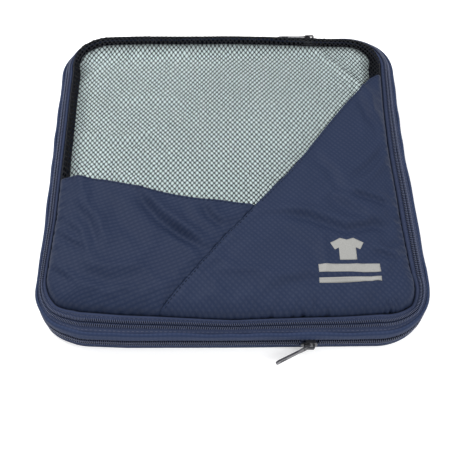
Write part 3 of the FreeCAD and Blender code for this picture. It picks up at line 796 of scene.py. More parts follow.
def planned_height(x, y):
    """Height of the lid's cloth above the table, before it is draped."""
    run, inset = locate(x, y)
    depth = np.maximum(inset - rim_inset, 0)
    rise = (ROLL * (1 - np.exp(-depth / ROLL_REACH))
            + (crown - ROLL_SHORT) * (1 - np.exp(-depth / DOME_REACH)))
    rise -= PINCH * np.exp(-depth / PINCH_REACH)
    loose = smooth(depth / SLACK_DEPTH)
    rise += BROAD * broad_waves(x, y) * loose + SMALL * small_waves(x, y) * loose
    folds = pucker(run)
    rise += gathers(run) * (GATHER_RIDGE * folds * bump(depth, 3.5, 4.5)
                            - GATHER_DENT * np.maximum(folds, 0) * bump(depth, 0.8, 1.6))
    for line, width, height in FOLDS:
        rise += crease(x, y, line, width, height) * smooth((depth + 1) / 9)
    gap, side = segment_distance(x, y, SEAM_FRONT)[:2]
    off_rim = smooth(depth / 4)
    rise -= (SEAM_VALLEY * bump(gap * side, -0.8, 2.4) + SEAM_GROOVE * bump(gap, 0, 0.8)) * off_rim
    rise += SEAM_PUCKER * np.sin(run_on_seam(x, y) / 1.7) * bump(gap, 2.0, 2.0) * off_rim
    return rim_z + rise


# The drape: grid step, enlargement for the solver, frames, extra cloth as a share, room above
# the contents, and the limits put on the change of height.
DRAPE_STEP = 4.0
DRAPE_SCALE = 10.0
DRAPE_FRAMES = 24
EXTRA_CLOTH = 0.014
REST_GAP = 1.2
DRAPE_LIMITS = (-2.0, 3.5)


def sheet(name, x, y, z, keep):
    """Grid mesh over the kept points, enlarged for the solver."""
    index = np.full(keep.shape, -1)
    index[keep] = np.arange(keep.sum())
    verts = np.stack([x[keep], y[keep], z[keep]], 1) * MM * DRAPE_SCALE
    quads = np.stack([index[:-1, :-1], index[:-1, 1:], index[1:, 1:], index[1:, :-1]], -1)
    quads = quads.reshape(-1, 4)
    quads = quads[(quads >= 0).all(1)]
    mesh = bpy.data.meshes.new(name)
    mesh.from_pydata(verts.tolist(), [], quads.tolist())
    return link(name, mesh)


def drape():
    """Cloth simulation of the lid: slightly too much cloth, sewn down all round, settles on
    the contents. Gives the change of height on a plan grid."""
    xs = np.arange(-half_w, half_w + DRAPE_STEP, DRAPE_STEP)
    ys = np.arange(-half_l, half_l + DRAPE_STEP, DRAPE_STEP)
    x, y = np.meshgrid(xs, ys)
    z = planned_height(x.ravel(), y.ravel()).reshape(x.shape)
    change = np.zeros(x.shape)
    inset = locate(x.ravel(), y.ravel())[1].reshape(x.shape)
    keep = inset > rim_inset
    cloth = sheet("drape", x, y, z, keep)
    ground = sheet("drape_rest", x, y, z - REST_GAP, inset > rim_inset - DRAPE_STEP)
    ground.modifiers.new("solid", "COLLISION")
    ground.collision.thickness_outer = 0.002
    ground.collision.thickness_inner = 0.05
    held = cloth.vertex_groups.new(name="sewn")
    sewn = np.nonzero(inset[keep] < rim_inset + 1.2 * DRAPE_STEP)[0]
    held.add(sewn.tolist(), 1.0, "REPLACE")
    solver = cloth.modifiers.new("cloth", "CLOTH")
    solver.settings.quality = 6
    solver.settings.mass = 0.15
    solver.settings.tension_stiffness = 20
    solver.settings.compression_stiffness = 20
    solver.settings.shear_stiffness = 6
    solver.settings.bending_stiffness = 0.4
    solver.settings.air_damping = 2.0
    solver.settings.shrink_min = -EXTRA_CLOTH
    solver.settings.vertex_group_mass = "sewn"
    solver.collision_settings.distance_min = 0.004
    solver.collision_settings.collision_quality = 2
    solver.point_cache.frame_end = DRAPE_FRAMES
    scene = bpy.context.scene
    for moment in range(1, DRAPE_FRAMES + 1):
        scene.frame_set(moment)
    settled = cloth.evaluated_get(bpy.context.evaluated_depsgraph_get()).to_mesh()
    after = np.empty(len(settled.vertices) * 3)
    settled.vertices.foreach_get("co", after)
    change[keep] = after.reshape(-1, 3)[:, 2] / (MM * DRAPE_SCALE) - z[keep]
    scene.frame_set(1)
    for obj in (cloth, ground):
        bpy.data.objects.remove(obj)
    return xs, ys, np.clip(change, *DRAPE_LIMITS)


DRAPE_X, DRAPE_Y, DRAPE_Z = drape()


def lid_height(x, y):
    """Height of the lid's cloth above the table, in plan, after it is draped."""
    u = np.clip((x - DRAPE_X[0]) / DRAPE_STEP, 0, len(DRAPE_X) - 1.001)
    v = np.clip((y - DRAPE_Y[0]) / DRAPE_STEP, 0, len(DRAPE_Y) - 1.001)
    i, j = u.astype(int), v.astype(int)
    a, b = smooth(u - i), smooth(v - j)
    draped = ((DRAPE_Z[j, i] * (1 - a) + DRAPE_Z[j, i + 1] * a) * (1 - b)
              + (DRAPE_Z[j + 1, i] * (1 - a) + DRAPE_Z[j + 1, i + 1] * a) * b)
    return planned_height(x, y) + draped


def resample(points, spacing=1.6):
    """Even points along a rounded-off line."""
    points = fine(points, 8)
    steps = np.concatenate([[0], np.cumsum(np.linalg.norm(np.diff(points, axis=0), axis=1))])
    marks = np.linspace(0, steps[-1], max(int(steps[-1] / spacing), 2) + 1)
    return np.stack([np.interp(marks, steps, points[:, k]) for k in (0, 1)], 1)


def rim_line(start, stop, inset, spacing=1.4):
    """Points along the outline at an inset."""
    runs = np.linspace(start, stop, int((stop - start) / spacing) + 1)
    return outline(runs, np.full(len(runs), inset))[0]


def inside(points, polygon):
    """Which points lie inside a polygon."""
    x, y = points[:, 0][:, None], points[:, 1][:, None]
    x0, y0 = polygon[:, 0], polygon[:, 1]
    x1, y1 = np.roll(x0, -1), np.roll(y0, -1)
    crosses = (y0 > y) != (y1 > y)
    with np.errstate(divide="ignore", invalid="ignore"):
        at = x0 + (y - y0) * (x1 - x0) / (y1 - y0)
    return (np.sum(crosses & (x < at), 1) % 2) == 1


def seam_frame(points):
    """Directions along a line of plan points, and to its right side."""
    along = np.gradient(points, axis=0)
    along /= np.linalg.norm(along, axis=1)[:, None]
    return along, np.stack([along[:, 1], -along[:, 0]], 1)


def clear_of(points, polygon, reach):
    """Which points lie farther than the reach from a polygon's corners."""
    keep = np.ones(len(points), bool)
    for a in range(0, len(points), 2000):
        block = points[a:a + 2000]
        gap = np.min(np.linalg.norm(block[:, None] - polygon[None], axis=2), axis=1)
        keep[a:a + 2000] = gap > reach
    return keep


ROW_SHARE = 0.87
EDGE_CLEAR = 0.42


def fill(polygon, spacing=1.9, rows=(0.45, 0.95, 1.6, 2.4, 3.4, 4.7, 6.3)):
    """Triangles of a plan region, with close rows next to the rim."""
    x_low, y_low = polygon.min(0)
    x_high, y_high = polygon.max(0)
    grid = []
    for row, y in enumerate(np.arange(y_low, y_high, spacing * ROW_SHARE)):
        shift = (row % 2) * spacing / 2
        xs = np.arange(x_low + shift, x_high, spacing)
        grid.append(np.stack([xs, np.full(len(xs), y)], 1))
    grid = np.concatenate(grid)
    grid = grid[locate(grid[:, 0], grid[:, 1])[1] > rim_inset + rows[-1] + 1.2]
    near = [rim_line(0, round_run - 1.4, rim_inset + row) for row in rows]
    points = np.concatenate([grid] + near)
    points = points[inside(points, polygon)]
    points = points[clear_of(points, polygon, EDGE_CLEAR)]
    everything = np.concatenate([polygon, points])
    count = len(polygon)
    edges = [(k, (k + 1) % count) for k in range(count)]
    result = delaunay_2d_cdt([Vector(p) for p in everything], edges, [], 1, 1e-5)
    return np.array([tuple(p) for p in result[0]]), [tuple(face) for face in result[2]]


def close_polygon(*lines):
    """One closed ring from lines end to end, without doubled points."""
    points = np.concatenate(lines)
    gaps = np.linalg.norm(points - np.roll(points, 1, 0), axis=1)
    return points[gaps > 0.3]


seam_left, seam_right, seam_front = (resample(s) for s in (SEAM_LEFT, SEAM_RIGHT, SEAM_FRONT))


def run_at(point):
    """Run of one plan point."""
    return float(locate(point[:1], point[1:])[0][0])


run_left = run_at(seam_left[0]) - round_run
run_right = run_at(seam_right[-1])
run_front = run_at(seam_front[-1]) - round_run
WINDOW = close_polygon(seam_left, seam_right[1:],
                       rim_line(run_right, run_left + round_run, rim_inset)[1:-1])
LEFT = close_polygon(rim_line(run_left, run_front, rim_inset), seam_front[::-1][1:],
                     seam_left[::-1][1:-1])
RIGHT = close_polygon(rim_line(run_front, run_right, rim_inset), seam_right[::-1][1:],
                      seam_front[1:-1])


# Hem beside a panel's seam: height of its roll and depth of its edge. TUCK is how far the
# gathers pull the cloth in under the rim.
HEM = 0.35
TUCK = 0.9
PANEL_THICK = 0.5


def panel(name, polygon, lift, seams, material, stands_for):
    """One cloth panel of the lid: its edges fold down along the seams."""
    plan, faces = fill(polygon)
    x, y = plan[:, 0], plan[:, 1]
    run, inset = locate(x, y)
    depth = np.maximum(inset - rim_inset, 0)
    off_rim = smooth(depth / 3)
    height = lid_height(x, y) + lift * off_rim
    for seam in seams:
        gap = segment_distance(x, y, seam)[0]
        height += HEM * (bump(gap, 1.2, 1.2) - bump(gap, 0, 0.6)) * off_rim
    normal = outline(run, np.zeros(len(run)))[1]
    tuck = TUCK * gathers(run) * np.maximum(pucker(run) + 0.3, 0) * np.exp(-depth / 1.8)
    verts = np.concatenate([plan - normal * tuck[:, None], height[:, None]], 1)
    uv = plan[np.array(faces).ravel()] * MM
    obj = make(name, verts, faces, material, "lid", stands_for, uv)
    face_up(obj)
    thicken(obj, "cloth", PANEL_THICK, -1)


# The right panel lies over the left one and over the tape.
LEFT_LIFT, RIGHT_LIFT = 0.8, 1.3
panel("left_panel_cloth", LEFT, LEFT_LIFT, [SEAM_LEFT], shaded_left_cloth, ["left_panel"])
panel("right_panel_cloth", RIGHT, RIGHT_LIFT, [SEAM_RIGHT, SEAM_FRONT], right_cloth,
      ["right_panel"])


# ---------------------------------------------------------------- net window

NET_X, NET_Y = 3.4, 4.2
NET_UNEVEN = (0.13, 0.10)
UNDER_PANEL = 4.0
STRAND_WIDE, STRAND_HIGH = 0.28, 0.18
KNOT = (0.95, 0.55, 0.3)


def build_net():
    """Diamond net: thin strands between knots, out to the rim and just under the panels."""
    rng = np.random.default_rng(11)
    columns = int(2 * half_w / NET_X) + 2
    rows = int(2 * half_l / (NET_Y / 2)) + 2
    col, row = np.meshgrid(np.arange(columns), np.arange(rows))
    x = (col + 0.5 * (row % 2)) * NET_X - half_w
    y = row * NET_Y / 2 - half_l
    x = x + 0.35 * broad_waves(y, x) + 0.012 * (y - 30)
    y = y + 0.5 * broad_waves(x * 1.3, y)
    x = x + rng.normal(0, NET_UNEVEN[0], x.shape)
    y = y + rng.normal(0, NET_UNEVEN[1], y.shape)
    points = np.stack([x.ravel(), y.ravel()], 1)
    index = np.arange(points.shape[0]).reshape(x.shape)
    used = inside(points, WINDOW)
    gap_left = segment_distance(points[:, 0], points[:, 1], SEAM_LEFT)[0]
    gap_right = segment_distance(points[:, 0], points[:, 1], SEAM_RIGHT)[0]
    depth = locate(points[:, 0], points[:, 1])[1] - rim_inset
    used |= (np.minimum(gap_left, gap_right) < UNDER_PANEL) & (depth > 0)
    pairs = []
    for r in range(rows - 1):
        for step in (0, 1):
            cols = np.arange(columns) + step - 1 + r % 2
            good = (cols >= 0) & (cols < columns)
            pairs.append(np.stack([index[r, good], index[r + 1, cols[good]]], 1))
    pairs = np.concatenate(pairs)
    pairs = pairs[used[pairs[:, 0]] & used[pairs[:, 1]]]
    height = lid_height(points[:, 0], points[:, 1])
    nodes = np.concatenate([points, height[:, None]], 1)
    start, end = nodes[pairs[:, 0]], nodes[pairs[:, 1]]
    along = end - start
    along /= np.linalg.norm(along, axis=1)[:, None]
    side = np.cross(along, np.array([0, 0, 1.0]))
    side /= np.linalg.norm(side, axis=1)[:, None]
    lift = np.cross(side, along)
    wide, high = side * STRAND_WIDE, lift * STRAND_HIGH
    ring = [wide, high, -wide, -high]
    strand_verts = np.stack([start + r for r in ring] + [end + r for r in ring], 1)
    strand_faces = []
    for b in range(0, 8 * len(pairs), 8):
        strand_faces += [(b + s, b + (s + 1) % 4, b + 4 + (s + 1) % 4, b + 4 + s)
                         for s in range(4)]
        strand_faces += [(b + 3, b + 2, b + 1, b), (b + 4, b + 5, b + 6, b + 7)]
    knots = nodes[np.unique(pairs)]
    size = np.array([[1, 0, 0], [0, 1, 0], [-1, 0, 0], [0, -1, 0], [0, 0, 1], [0, 0, -1]]) * KNOT
    knot_verts = (knots[:, None] + size[None]).reshape(-1, 3)
    knot = [(s, (s + 1) % 4, 4) for s in range(4)] + [((s + 1) % 4, s, 5) for s in range(4)]
    knot_faces = [tuple(v + 6 * k for v in face) for k in range(len(knots)) for face in knot]
    verts, faces = join([(strand_verts.reshape(-1, 3), strand_faces), (knot_verts, knot_faces)])
    make("mesh_window_net", verts, faces, net_nylon, "lid", ["mesh_window"], shade=False)


build_net()


# Inset past the rim and drop of the points across the border, its thickness, how far its ends
# tuck in under the panels, and how much lower they lie there.
BORDER = ((-0.1, 1.8), (0.5, 0), (1.3, 0), (2.1, 0))
BORDER_THICK = 0.4
BORDER_TUCK, BORDER_UNDER = 4.0, 0.7


def build_net_border():
    """Doubled net at the rim, where the window is caught into the seam."""
    start, stop = run_right + 1, run_left + round_run - 1
    runs = np.arange(start - BORDER_TUCK, stop + BORDER_TUCK, 1.6)
    lower = np.where((runs < start) | (runs > stop), BORDER_UNDER, 0.0)
    parts = []
    for inset, drop in BORDER:
        point = outline(runs, np.full(len(runs), rim_inset + inset))[0]
        height = lid_height(point[:, 0], point[:, 1]) + 0.1 - lower - drop
        parts.append(np.concatenate([point, height[:, None]], 1))
    verts, faces = flat_bar(np.stack(parts, 1), BORDER_THICK)
    make("window_edge", verts, faces, net_nylon, "lid")


build_net_border()


# ---------------------------------------------------------------- zippers

PITCH = 1.37
TILT = math.radians(17)
TOOTH = (0.62, 2.7, 1.75)
TOOTH_OFF, TOOTH_LIFT = 1.55, 0.85
LOW_START, UP_START = 0.4, 1.15
CORE_OFF, CORE_LIFT, CORE_RADIUS = 1.5, 0.6, 0.7
WALL_TOOTH, WALL_CORE = 0.8, 1.1
SLIDER_HALF = 5.8
up_slope = (-math.cos(SLOPE), math.sin(SLOPE))
u_span = (-rear_at(coil_end_x), rear_at(coil_end_x))
tape_span = (-rear_at(tab_high_x), rear_at(tab_high_x))
comp_span = (slider_x + SLIDER_HALF, slider_x - SLIDER_HALF + round_run)


def teeth(name, span, centre, across, upper, body, node):
    """Nylon teeth on one side of a chain. The upper side's stand between the lower side's."""
    first, tilt = (UP_START, -TILT) if upper else (LOW_START, TILT)
    verts, faces = beads(np.arange(span[0] + first, span[1], PITCH), centre, across, TOOTH, tilt)
    make(name, verts, faces, coil_nylon, body, [node])


def core(name, centre, span, body):
    """Cord inside one side of a chain. Its near-black colour is painted shade for the gaps between
    the teeth.
    """
    verts, faces, uv = sweep(round_section(centre, CORE_RADIUS, 8), *span, 2.5)
    make(name, verts, faces, core_gap_shade, body, uv=uv)


teeth("main_teeth_low", u_span, shoulder(CHAIN_ALONG - TOOTH_OFF, TOOTH_LIFT), up_slope, False,
      "frame", "main_coil_low")
teeth("main_teeth_up", u_span, shoulder(CHAIN_ALONG + TOOTH_OFF, TOOTH_LIFT), up_slope, True,
      "lid", "main_coil_up")
teeth("comp_teeth_low", comp_span, (WALL_TOOTH, comp_z - TOOTH_OFF), (0, 1), False, "base",
      "comp_coil_low")
teeth("comp_teeth_up", comp_span, (WALL_TOOTH, comp_z + TOOTH_OFF), (0, 1), True, "frame",
      "comp_coil_up")
core("main_core_low", shoulder(CHAIN_ALONG - CORE_OFF, CORE_LIFT), u_span, "frame")
core("main_core_up", shoulder(CHAIN_ALONG + CORE_OFF, CORE_LIFT), u_span, "lid")
core("comp_core_low", (WALL_CORE, comp_z - CORE_OFF), comp_span, "base")
core("comp_core_up", (WALL_CORE, comp_z + CORE_OFF), comp_span, "frame")

# The tapes. The upper one turns down at the rim, and its ends run on to the hinge as a fold.
TAPE = 0.6
TAPE_INSET = 1.95
turned_edge = [shoulder(9.6, -0.25), shoulder(10.4, 0.05), shoulder(11.0, -0.3),
               shoulder(11.3, -1.2), shoulder(11.35, -2.4)]
tape_end = rear_at(tab_high_x + 2.5)
hinge_end = rear_at(hinge_x + 0.4)
ribbon("main_tape_upper", [shoulder(6.25, -0.3), shoulder(8, -0.3)] + turned_edge, TAPE,
       zip_cloth, "lid", ["main_tape_up"], (-tape_end, tape_end))
for side, span in (("right", (tape_end, hinge_end)), ("left", (-hinge_end, -tape_end))):
    ribbon("tape_end_fold_" + side, [shoulder(8.8, -0.3)] + turned_edge, TAPE, zip_cloth, "lid",
           (), span)
ribbon("main_tape_lower", [shoulder(5.75, -0.3), shoulder(4, -0.3), shoulder(2, -0.3),
                           shoulder(0.4, -0.35), shoulder(-0.4, -0.7), shoulder(-0.9, -1.4)],
       TAPE, zip_cloth, "frame", ["main_tape_low"], tape_span)
for name, heights, body, node in (
        ("comp_tape_upper", (0.3, 3, 5.7), "frame", "comp_tape_up"),
        ("comp_tape_lower", (-5.7, -3, -0.3), "base", "comp_tape_low")):
    ribbon(name, [(TAPE_INSET, comp_z + height) for height in heights], TAPE, zip_cloth, body,
           [node])


# ---------------------------------------------------------------- wall bands and bindings

def slack_band(runs, share):
    """Slight swelling of a loose band between its seams."""
    swell = 0.25 * np.sin(runs / 5.1 + 1.3 * np.sin(runs / 23)) + 0.2 * np.sin(runs / 11.0)
    return swell * np.sin(math.pi * share) ** 2


# Sections of the two bands, as inset and height above the lower chain.
BAND = 0.7
MID_BAND = ((1.9, 4.1), (1.25, 4.5), (0.95, 5.6), (0.75, 8), (0.8, 10.5), (1.0, 11.9),
            (1.6, 12.8), (2.5, 12.9))
BASE_WALL = ((1.9, -4.1), (1.2, -4.6), (0.95, -5.6), (1.1, -7.0), (1.8, -8.1), (2.9, -8.5))
# Their cloth carries painted light: it is lighter than the lid's navy.
for name, shape, body, node in (("mid_band_cloth", MID_BAND, "frame", "mid_band"),
                                ("base_wall_cloth", BASE_WALL, "base", "base_wall")):
    ribbon(name, [(inset, comp_z + height) for inset, height in shape], BAND, lit_band_cloth, body,
           [node], ripple=slack_band)


def cord(name, centre, radius, material, body):
    """Round cord all the way round the outline."""
    section = round_section(centre, radius, 10)
    verts, faces, uv = sweep(section, 0, round_run, SWEEP_STEP, True)
    make(name, verts, faces, material, body, uv=uv)


cord("base_piping", (1.5, 0.95), 0.85, zip_cloth, "base")
# Near-black cord in the groove at the rim: painted shade for the groove's shadow.
cord("rim_groove_shade", (rim_inset - 0.3, rim_z - 1.5), 0.7, dark_thread_and_groove_shade, "lid")


def binding(name, node, body):
    """Folded seam tape in the place of its CAD strip."""
    low, high = box_mm(node)
    inset = half_w - high[0]
    mid = inset + 0.6
    bulge = [(mid, low[2] + 0.2), (mid - 0.15, (low[2] + high[2]) / 2), (mid, high[2] - 0.2)]
    ribbon(name, bulge, 0.9, binding_cloth, body, [node])


binding("base_seam_tape", "base_binding", "base")
binding("frame_seam_tape", "frame_binding", "frame")
binding("rim_seam_tape", "lid_binding", "lid")


STITCH_PITCH = 3.0
STITCH = (2.0, 0.42, 0.4)


def stitches(name, start, stop, centre, across, body):
    """Row of stitches along the outline."""
    verts, faces = beads(np.arange(start, stop, STITCH_PITCH), centre, across, STITCH, 0.0)
    make(name, verts, faces, thread, body)


stitches("rim_stitches", *u_span, shoulder(9.8, 0.05), up_slope, "lid")
stitches("fold_stitches", *tape_span, shoulder(1.2, 0.02), up_slope, "frame")
stitches("band_stitches", 0, round_run - 1, (0.42, comp_z + 5.9), (0, 1), "frame")


# ---------------------------------------------------------------- floor panel and gusset

FLOOR_THICK = 0.45
FLOOR_HEIGHT, FLOOR_EDGE, FLOOR_LOWEST = 0.62, 0.35, 0.5


def floor_panel():
    """The ripstop bottom, slightly dished, with its edge turned up to the piping."""
    polygon = rim_line(0, round_run - 2, 2.0, 2.2)
    plan, faces = fill(polygon, 4.5, rows=(2.0,))
    x, y = plan[:, 0], plan[:, 1]
    inset = locate(x, y)[1]
    height = FLOOR_HEIGHT + FLOOR_EDGE * smooth((12 - inset) / 10) + 0.1 * broad_waves(x, y)
    height = np.maximum(height, FLOOR_LOWEST)
    verts = np.concatenate([plan, height[:, None]], 1)
    uv = plan[np.array(faces).ravel()] * MM
    obj = make("bottom_cloth", verts, faces, lit_band_cloth, "base", ["bottom_panel"], uv)
    thicken(obj, "cloth", FLOOR_THICK, 0)


floor_panel()

# The bellows: number of pleats, and the inset of their inner folds, outer folds and sewn edges.
PLEATS = 9
PLEAT_IN, PLEAT_OUT, PLEAT_EDGE = 7.4, 3.9, 3.2


def gusset():
    """Bellows behind the compression zipper: stretches from base to frame."""
    low, high = box_mm("gusset")
    bottom, top = low[2] + 0.2, high[2] - 0.2
    line = [(PLEAT_IN if k % 2 else PLEAT_OUT, bottom + (top - bottom) * k / PLEATS)
            for k in range(PLEATS + 1)]
    line[0] = (PLEAT_EDGE, bottom)
    line[-1] = (PLEAT_EDGE, top)
    verts, faces, uv = sweep(strip(fine(line, 3), 0.35), 0, round_run, 3.0, True)
    obj = make("gusset_bellows", verts, faces, lining_cloth, None, ["gusset"], uv)
    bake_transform(obj)


gusset()


# ---------------------------------------------------------------- rear hinge and end tabs

def hinge():
    """Cloth over the rear of the shoulder. It bends between frame and lid."""
    line = [shoulder(-0.9, -1.4), shoulder(-0.4, -0.7), shoulder(0.5, -0.3), shoulder(3, -0.1),
            shoulder(6, 0.05), shoulder(9, -0.1), shoulder(11.2, -0.05), shoulder(11.9, -0.4),
            shoulder(12.4, -1.4)]
    verts, faces, uv = sweep(strip(fine(line), BAND), rear_at(hinge_x), rear_at(-hinge_x),
                             SWEEP_STEP)
    obj = make("hinge_cloth", verts, faces, lit_band_cloth, None, ["hinge_strip"], uv)
    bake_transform(obj)


hinge()


def end_tabs():
    """The two cloth tabs over the ends of the main chain."""
    line = [shoulder(-0.7, 0.1), shoulder(0.6, 0.5), shoulder(4, 0.9), shoulder(7.6, 0.7),
            shoulder(8.2, 0.2)]
    section = strip(fine(line), TAPE)
    parts = [sweep(section, rear_at(high), rear_at(low), SWEEP_STEP)[:2]
             for low, high in ((tab_low_x, tab_high_x), (-tab_high_x, -tab_low_x))]
    verts, faces = join(parts)
    make("zip_end_tab_pair", verts, faces, zip_cloth, "frame", ["zip_end_tabs"])


end_tabs()


# ---------------------------------------------------------------- seam tapes and print

# Reach of the tape's rows from its seam, its depth under the cloth, and its thickness.
TAPE_ROWS = (1.0, 3.5, 6.0, 8.0)
TAPE_UNDER, TAPE_THICK = 0.2, 0.4


def seam_tape(seam):
    """Points and faces of the tape inside the lid, on the panel side of a seam."""
    points = resample(seam, 3.0)
    side = seam_frame(points)[1]
    rows = [points + side * reach for reach in TAPE_ROWS]
    depth = [locate(row[:, 0], row[:, 1])[1] - rim_inset for row in rows]
    keep = np.min(depth, axis=0) > 4
    top = []
    for row in rows:
        row = row[keep]
        height = lid_height(row[:, 0], row[:, 1]) - TAPE_UNDER
        top.append(np.concatenate([row, height[:, None]], 1))
    return flat_bar(np.stack(top, 1), TAPE_THICK)


for seams, name, node in (((SEAM_LEFT, SEAM_RIGHT), "window_seam_tape", "window_tape"),
                          ((SEAM_FRONT[1:],), "panel_seam_tape", "panel_tape")):
    verts, faces = join([seam_tape(seam) for seam in seams])
    make(name, verts, faces, binding_cloth, "lid", [node])


PRINT_THICK, PRINT_LIFT = 0.12, 0.14


def printed_mark():
    """The plain shirt sign and its two bars, printed on the right panel."""
    low, high = box_mm("print_mark")
    x, half = (low[0] + high[0]) / 2, (high[0] - low[0]) / 2
    y = low[1] + 21
    hem, sleeve, body = y - 6, y + 3, half * 0.28
    shirt = [(x - body, hem), (x + body, hem), (x + body, sleeve),
             (x + half * 0.42, sleeve - 1.5), (x + half * 0.55, sleeve + 3.5),
             (x + half * 0.22, y + 10), (x, y + 8.6), (x - half * 0.22, y + 10),
             (x - half * 0.55, sleeve + 3.5), (x - half * 0.42, sleeve - 1.5),
             (x - body, sleeve)]
    bars = [[(x - half, y - 15), (x + half, y - 15), (x + half, y - 9), (x - half, y - 9)],
            [(x - half, y - 21), (x + half, y - 21), (x + half, y - 18), (x - half, y - 18)]]
    parts = []
    for shape in [shirt] + bars:
        ring = []
        for (x0, y0), (x1, y1) in zip(shape, shape[1:] + shape[:1]):
            steps = max(int(math.hypot(x1 - x0, y1 - y0) / 1.2), 1)
            ring += [(x0 + (x1 - x0) * s / steps, y0 + (y1 - y0) * s / steps)
                     for s in range(steps)]
        plan, faces = fill(np.array(ring), 1.3, rows=(0.5,))
        z = lid_height(plan[:, 0], plan[:, 1]) + RIGHT_LIFT + PRINT_LIFT
        parts.append((np.concatenate([plan, z[:, None]], 1), faces))
    verts, faces = join(parts)
    obj = make("print_sign", verts, faces, print_ink, "lid", ["print_mark"])
    face_up(obj)
    thicken(obj, "ink", PRINT_THICK, 0)


printed_mark()

# The stitches beside the lid's seams: pitch, distance from the seam, half length, width, height.
HEM_PITCH, HEM_AWAY, HEM_HALF = 2.9, 1.7, 0.95
HEM_WIDE, HEM_HIGH = 0.32, 0.45
HEM_LIFT = 0.3


def seam_stitches(name, seam, lift):
    """Row of stitches sunk into the cloth along the panel's edge."""
    points = resample(seam, HEM_PITCH)[2:-2]
    points = points[locate(points[:, 0], points[:, 1])[1] > rim_inset + 2]
    along, side = seam_frame(points)
    centre = points + HEM_AWAY * side
    ahead, behind = centre + along * HEM_HALF, centre - along * HEM_HALF
    ends = [np.concatenate([p, (lid_height(p[:, 0], p[:, 1]) + lift)[:, None]], 1)
            for p in (behind, ahead)]
    shape, faces = bead_shape()
    middle, long_axis = (ends[0] + ends[1]) / 2, ends[1] - ends[0]
    wide = np.concatenate([side, np.zeros((len(side), 1))], 1) * HEM_WIDE
    up = np.array([0, 0, HEM_HIGH])
    co = (middle[:, None] + wide[:, None] * shape[None, :, :1]
          + long_axis[:, None] * shape[None, :, 1:2] + up * shape[None, :, 2:])
    many = [tuple(v + i * len(shape) for v in face) for i in range(len(middle)) for face in faces]
    make(name, co.reshape(-1, 3), many, dark_thread_and_groove_shade, "lid")


for seam, name, lift in ((SEAM_LEFT, "left_hem_stitches", LEFT_LIFT),
                         (SEAM_RIGHT, "right_hem_stitches", RIGHT_LIFT),
                         (SEAM_FRONT[::-1], "join_stitches", RIGHT_LIFT)):
    seam_stitches(name, seam, lift + HEM_LIFT)


# ---------------------------------------------------------------- metal parts kept from CAD

for node in ("comp_slider", "comp_bail", "comp_pull", "main_slider", "main_bail", "main_pull"):
    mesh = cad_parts[node].data
    mesh.materials.clear()
    mesh.materials.append(gunmetal)


# ---------------------------------------------------------------- stage

# The padding: corners with the angle each one's arc starts at, radius, depth, gap to the net,
# and how far and how fast its edge drops.
PAD_CORNERS = ((111, -106, -90), (112, 114, 0), (-116, 114, 90), (-115, -106, 180))
PAD_RADIUS = 19
PAD_DEPTH = 18
PAD_GAP = 1.6
PAD_DROP, PAD_DROP_REACH = 7, 3.0
PAD_STEP = 3.0


def filler():
    """Plain pale padding that fills the cube for display. Not part of the object."""
    ring = []
    for x, y, start in PAD_CORNERS:
        middle = (x - math.copysign(PAD_RADIUS, x), y - math.copysign(PAD_RADIUS, y))
        for turn in np.radians(np.arange(start, start + 91, 9)):
            ring.append((middle[0] + PAD_RADIUS * math.cos(turn),
                         middle[1] + PAD_RADIUS * math.sin(turn)))
    closed = np.array(ring + ring[:1])
    steps = np.concatenate([[0], np.cumsum(np.linalg.norm(np.diff(closed, axis=0), axis=1))])
    marks = np.arange(0, steps[-1], PAD_STEP)
    ring = np.stack([np.interp(marks, steps, closed[:, k]) for k in (0, 1)], 1)
    plan, faces = fill(ring, PAD_STEP, rows=(20.0,))
    gap = np.min(np.linalg.norm(plan[:, None] - ring[None], axis=2), axis=1)
    z = lid_height(plan[:, 0], plan[:, 1]) - PAD_GAP - PAD_DROP * np.exp(-gap / PAD_DROP_REACH)
    verts = np.concatenate([plan, z[:, None]], 1)
    material = plain("display_filler", (0.60, 0.715, 0.715), 0.9, grain=60, spread=0.08)
    obj = make("display_filler", verts, faces, material, None)
    face_up(obj)
    thicken(obj, "depth", PAD_DEPTH, -1)


filler()

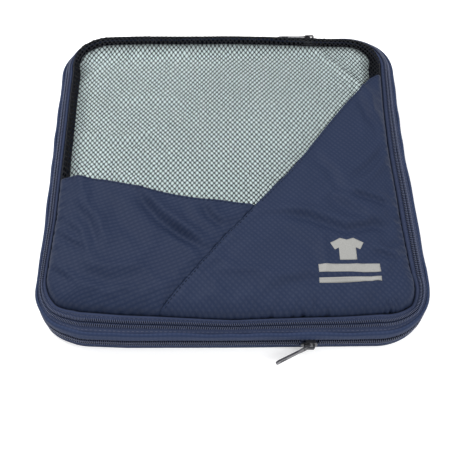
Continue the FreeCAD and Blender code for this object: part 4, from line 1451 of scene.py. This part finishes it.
FLOOR_HALF = 6.0
FLOOR_GLOW = 0.3


def floor():
    """White table under the object."""
    mesh = bpy.data.meshes.new("floor")
    size = FLOOR_HALF
    corners = [(-size, -size, 0), (size, -size, 0), (size, size, 0), (-size, size, 0)]
    mesh.from_pydata(corners, [], [(0, 1, 2, 3)])
    paint = plain("floor_paint", (0.9, 0.9, 0.9), 0.8, grain=3, spread=0.01)
    glow = paint.node_tree.nodes["Principled BSDF"]
    glow.inputs["Emission Color"].default_value = (1, 1, 1, 1)
    glow.inputs["Emission Strength"].default_value = FLOOR_GLOW
    mesh.materials.append(paint)
    link("floor", mesh)


floor()


def area_light(name, place, power, size):
    """Soft light that points at the middle of the table."""
    lamp = bpy.data.lights.new(name, "AREA")
    lamp.energy = power
    lamp.size = size
    obj = link(name, lamp)
    obj.location = place
    obj.rotation_euler = (-Vector(place)).to_track_quat("-Z", "Y").to_euler()


SKY = 0.70
world = bpy.data.worlds.new("studio")
world.use_nodes = True
world.node_tree.nodes["Background"].inputs["Color"].default_value = (1, 1, 1, 1)
world.node_tree.nodes["Background"].inputs["Strength"].default_value = SKY
bpy.context.scene.world = world
area_light("key", (-0.5, 0.35, 1.0), 11, 0.4)
area_light("fill", (0.7, -0.5, 1.1), 9, 0.8)
bpy.context.scene.view_settings.view_transform = "Standard"


# ---------------------------------------------------------------- camera

# Distances in metres, angles above the table and to the side, lens and sensor in millimetres.
DISTANCE = 0.504
ELEVATION = math.radians(60)
TURN = math.radians(-0.66)
FOCAL, SENSOR = 56.88, 36.0
TARGET = Vector((-0.0041, -0.0431, 0.015))
back = Vector((math.sin(TURN) * math.cos(ELEVATION), -math.cos(TURN) * math.cos(ELEVATION),
               math.sin(ELEVATION)))
lens = bpy.data.cameras.new("camera")
lens.sensor_width = SENSOR
lens.lens = FOCAL
camera = link("camera", lens)
camera.location = TARGET + back * DISTANCE
camera.rotation_mode = "QUATERNION"
camera.rotation_quaternion = (-back).to_track_quat("-Z", "Y")
bpy.context.scene.camera = camera
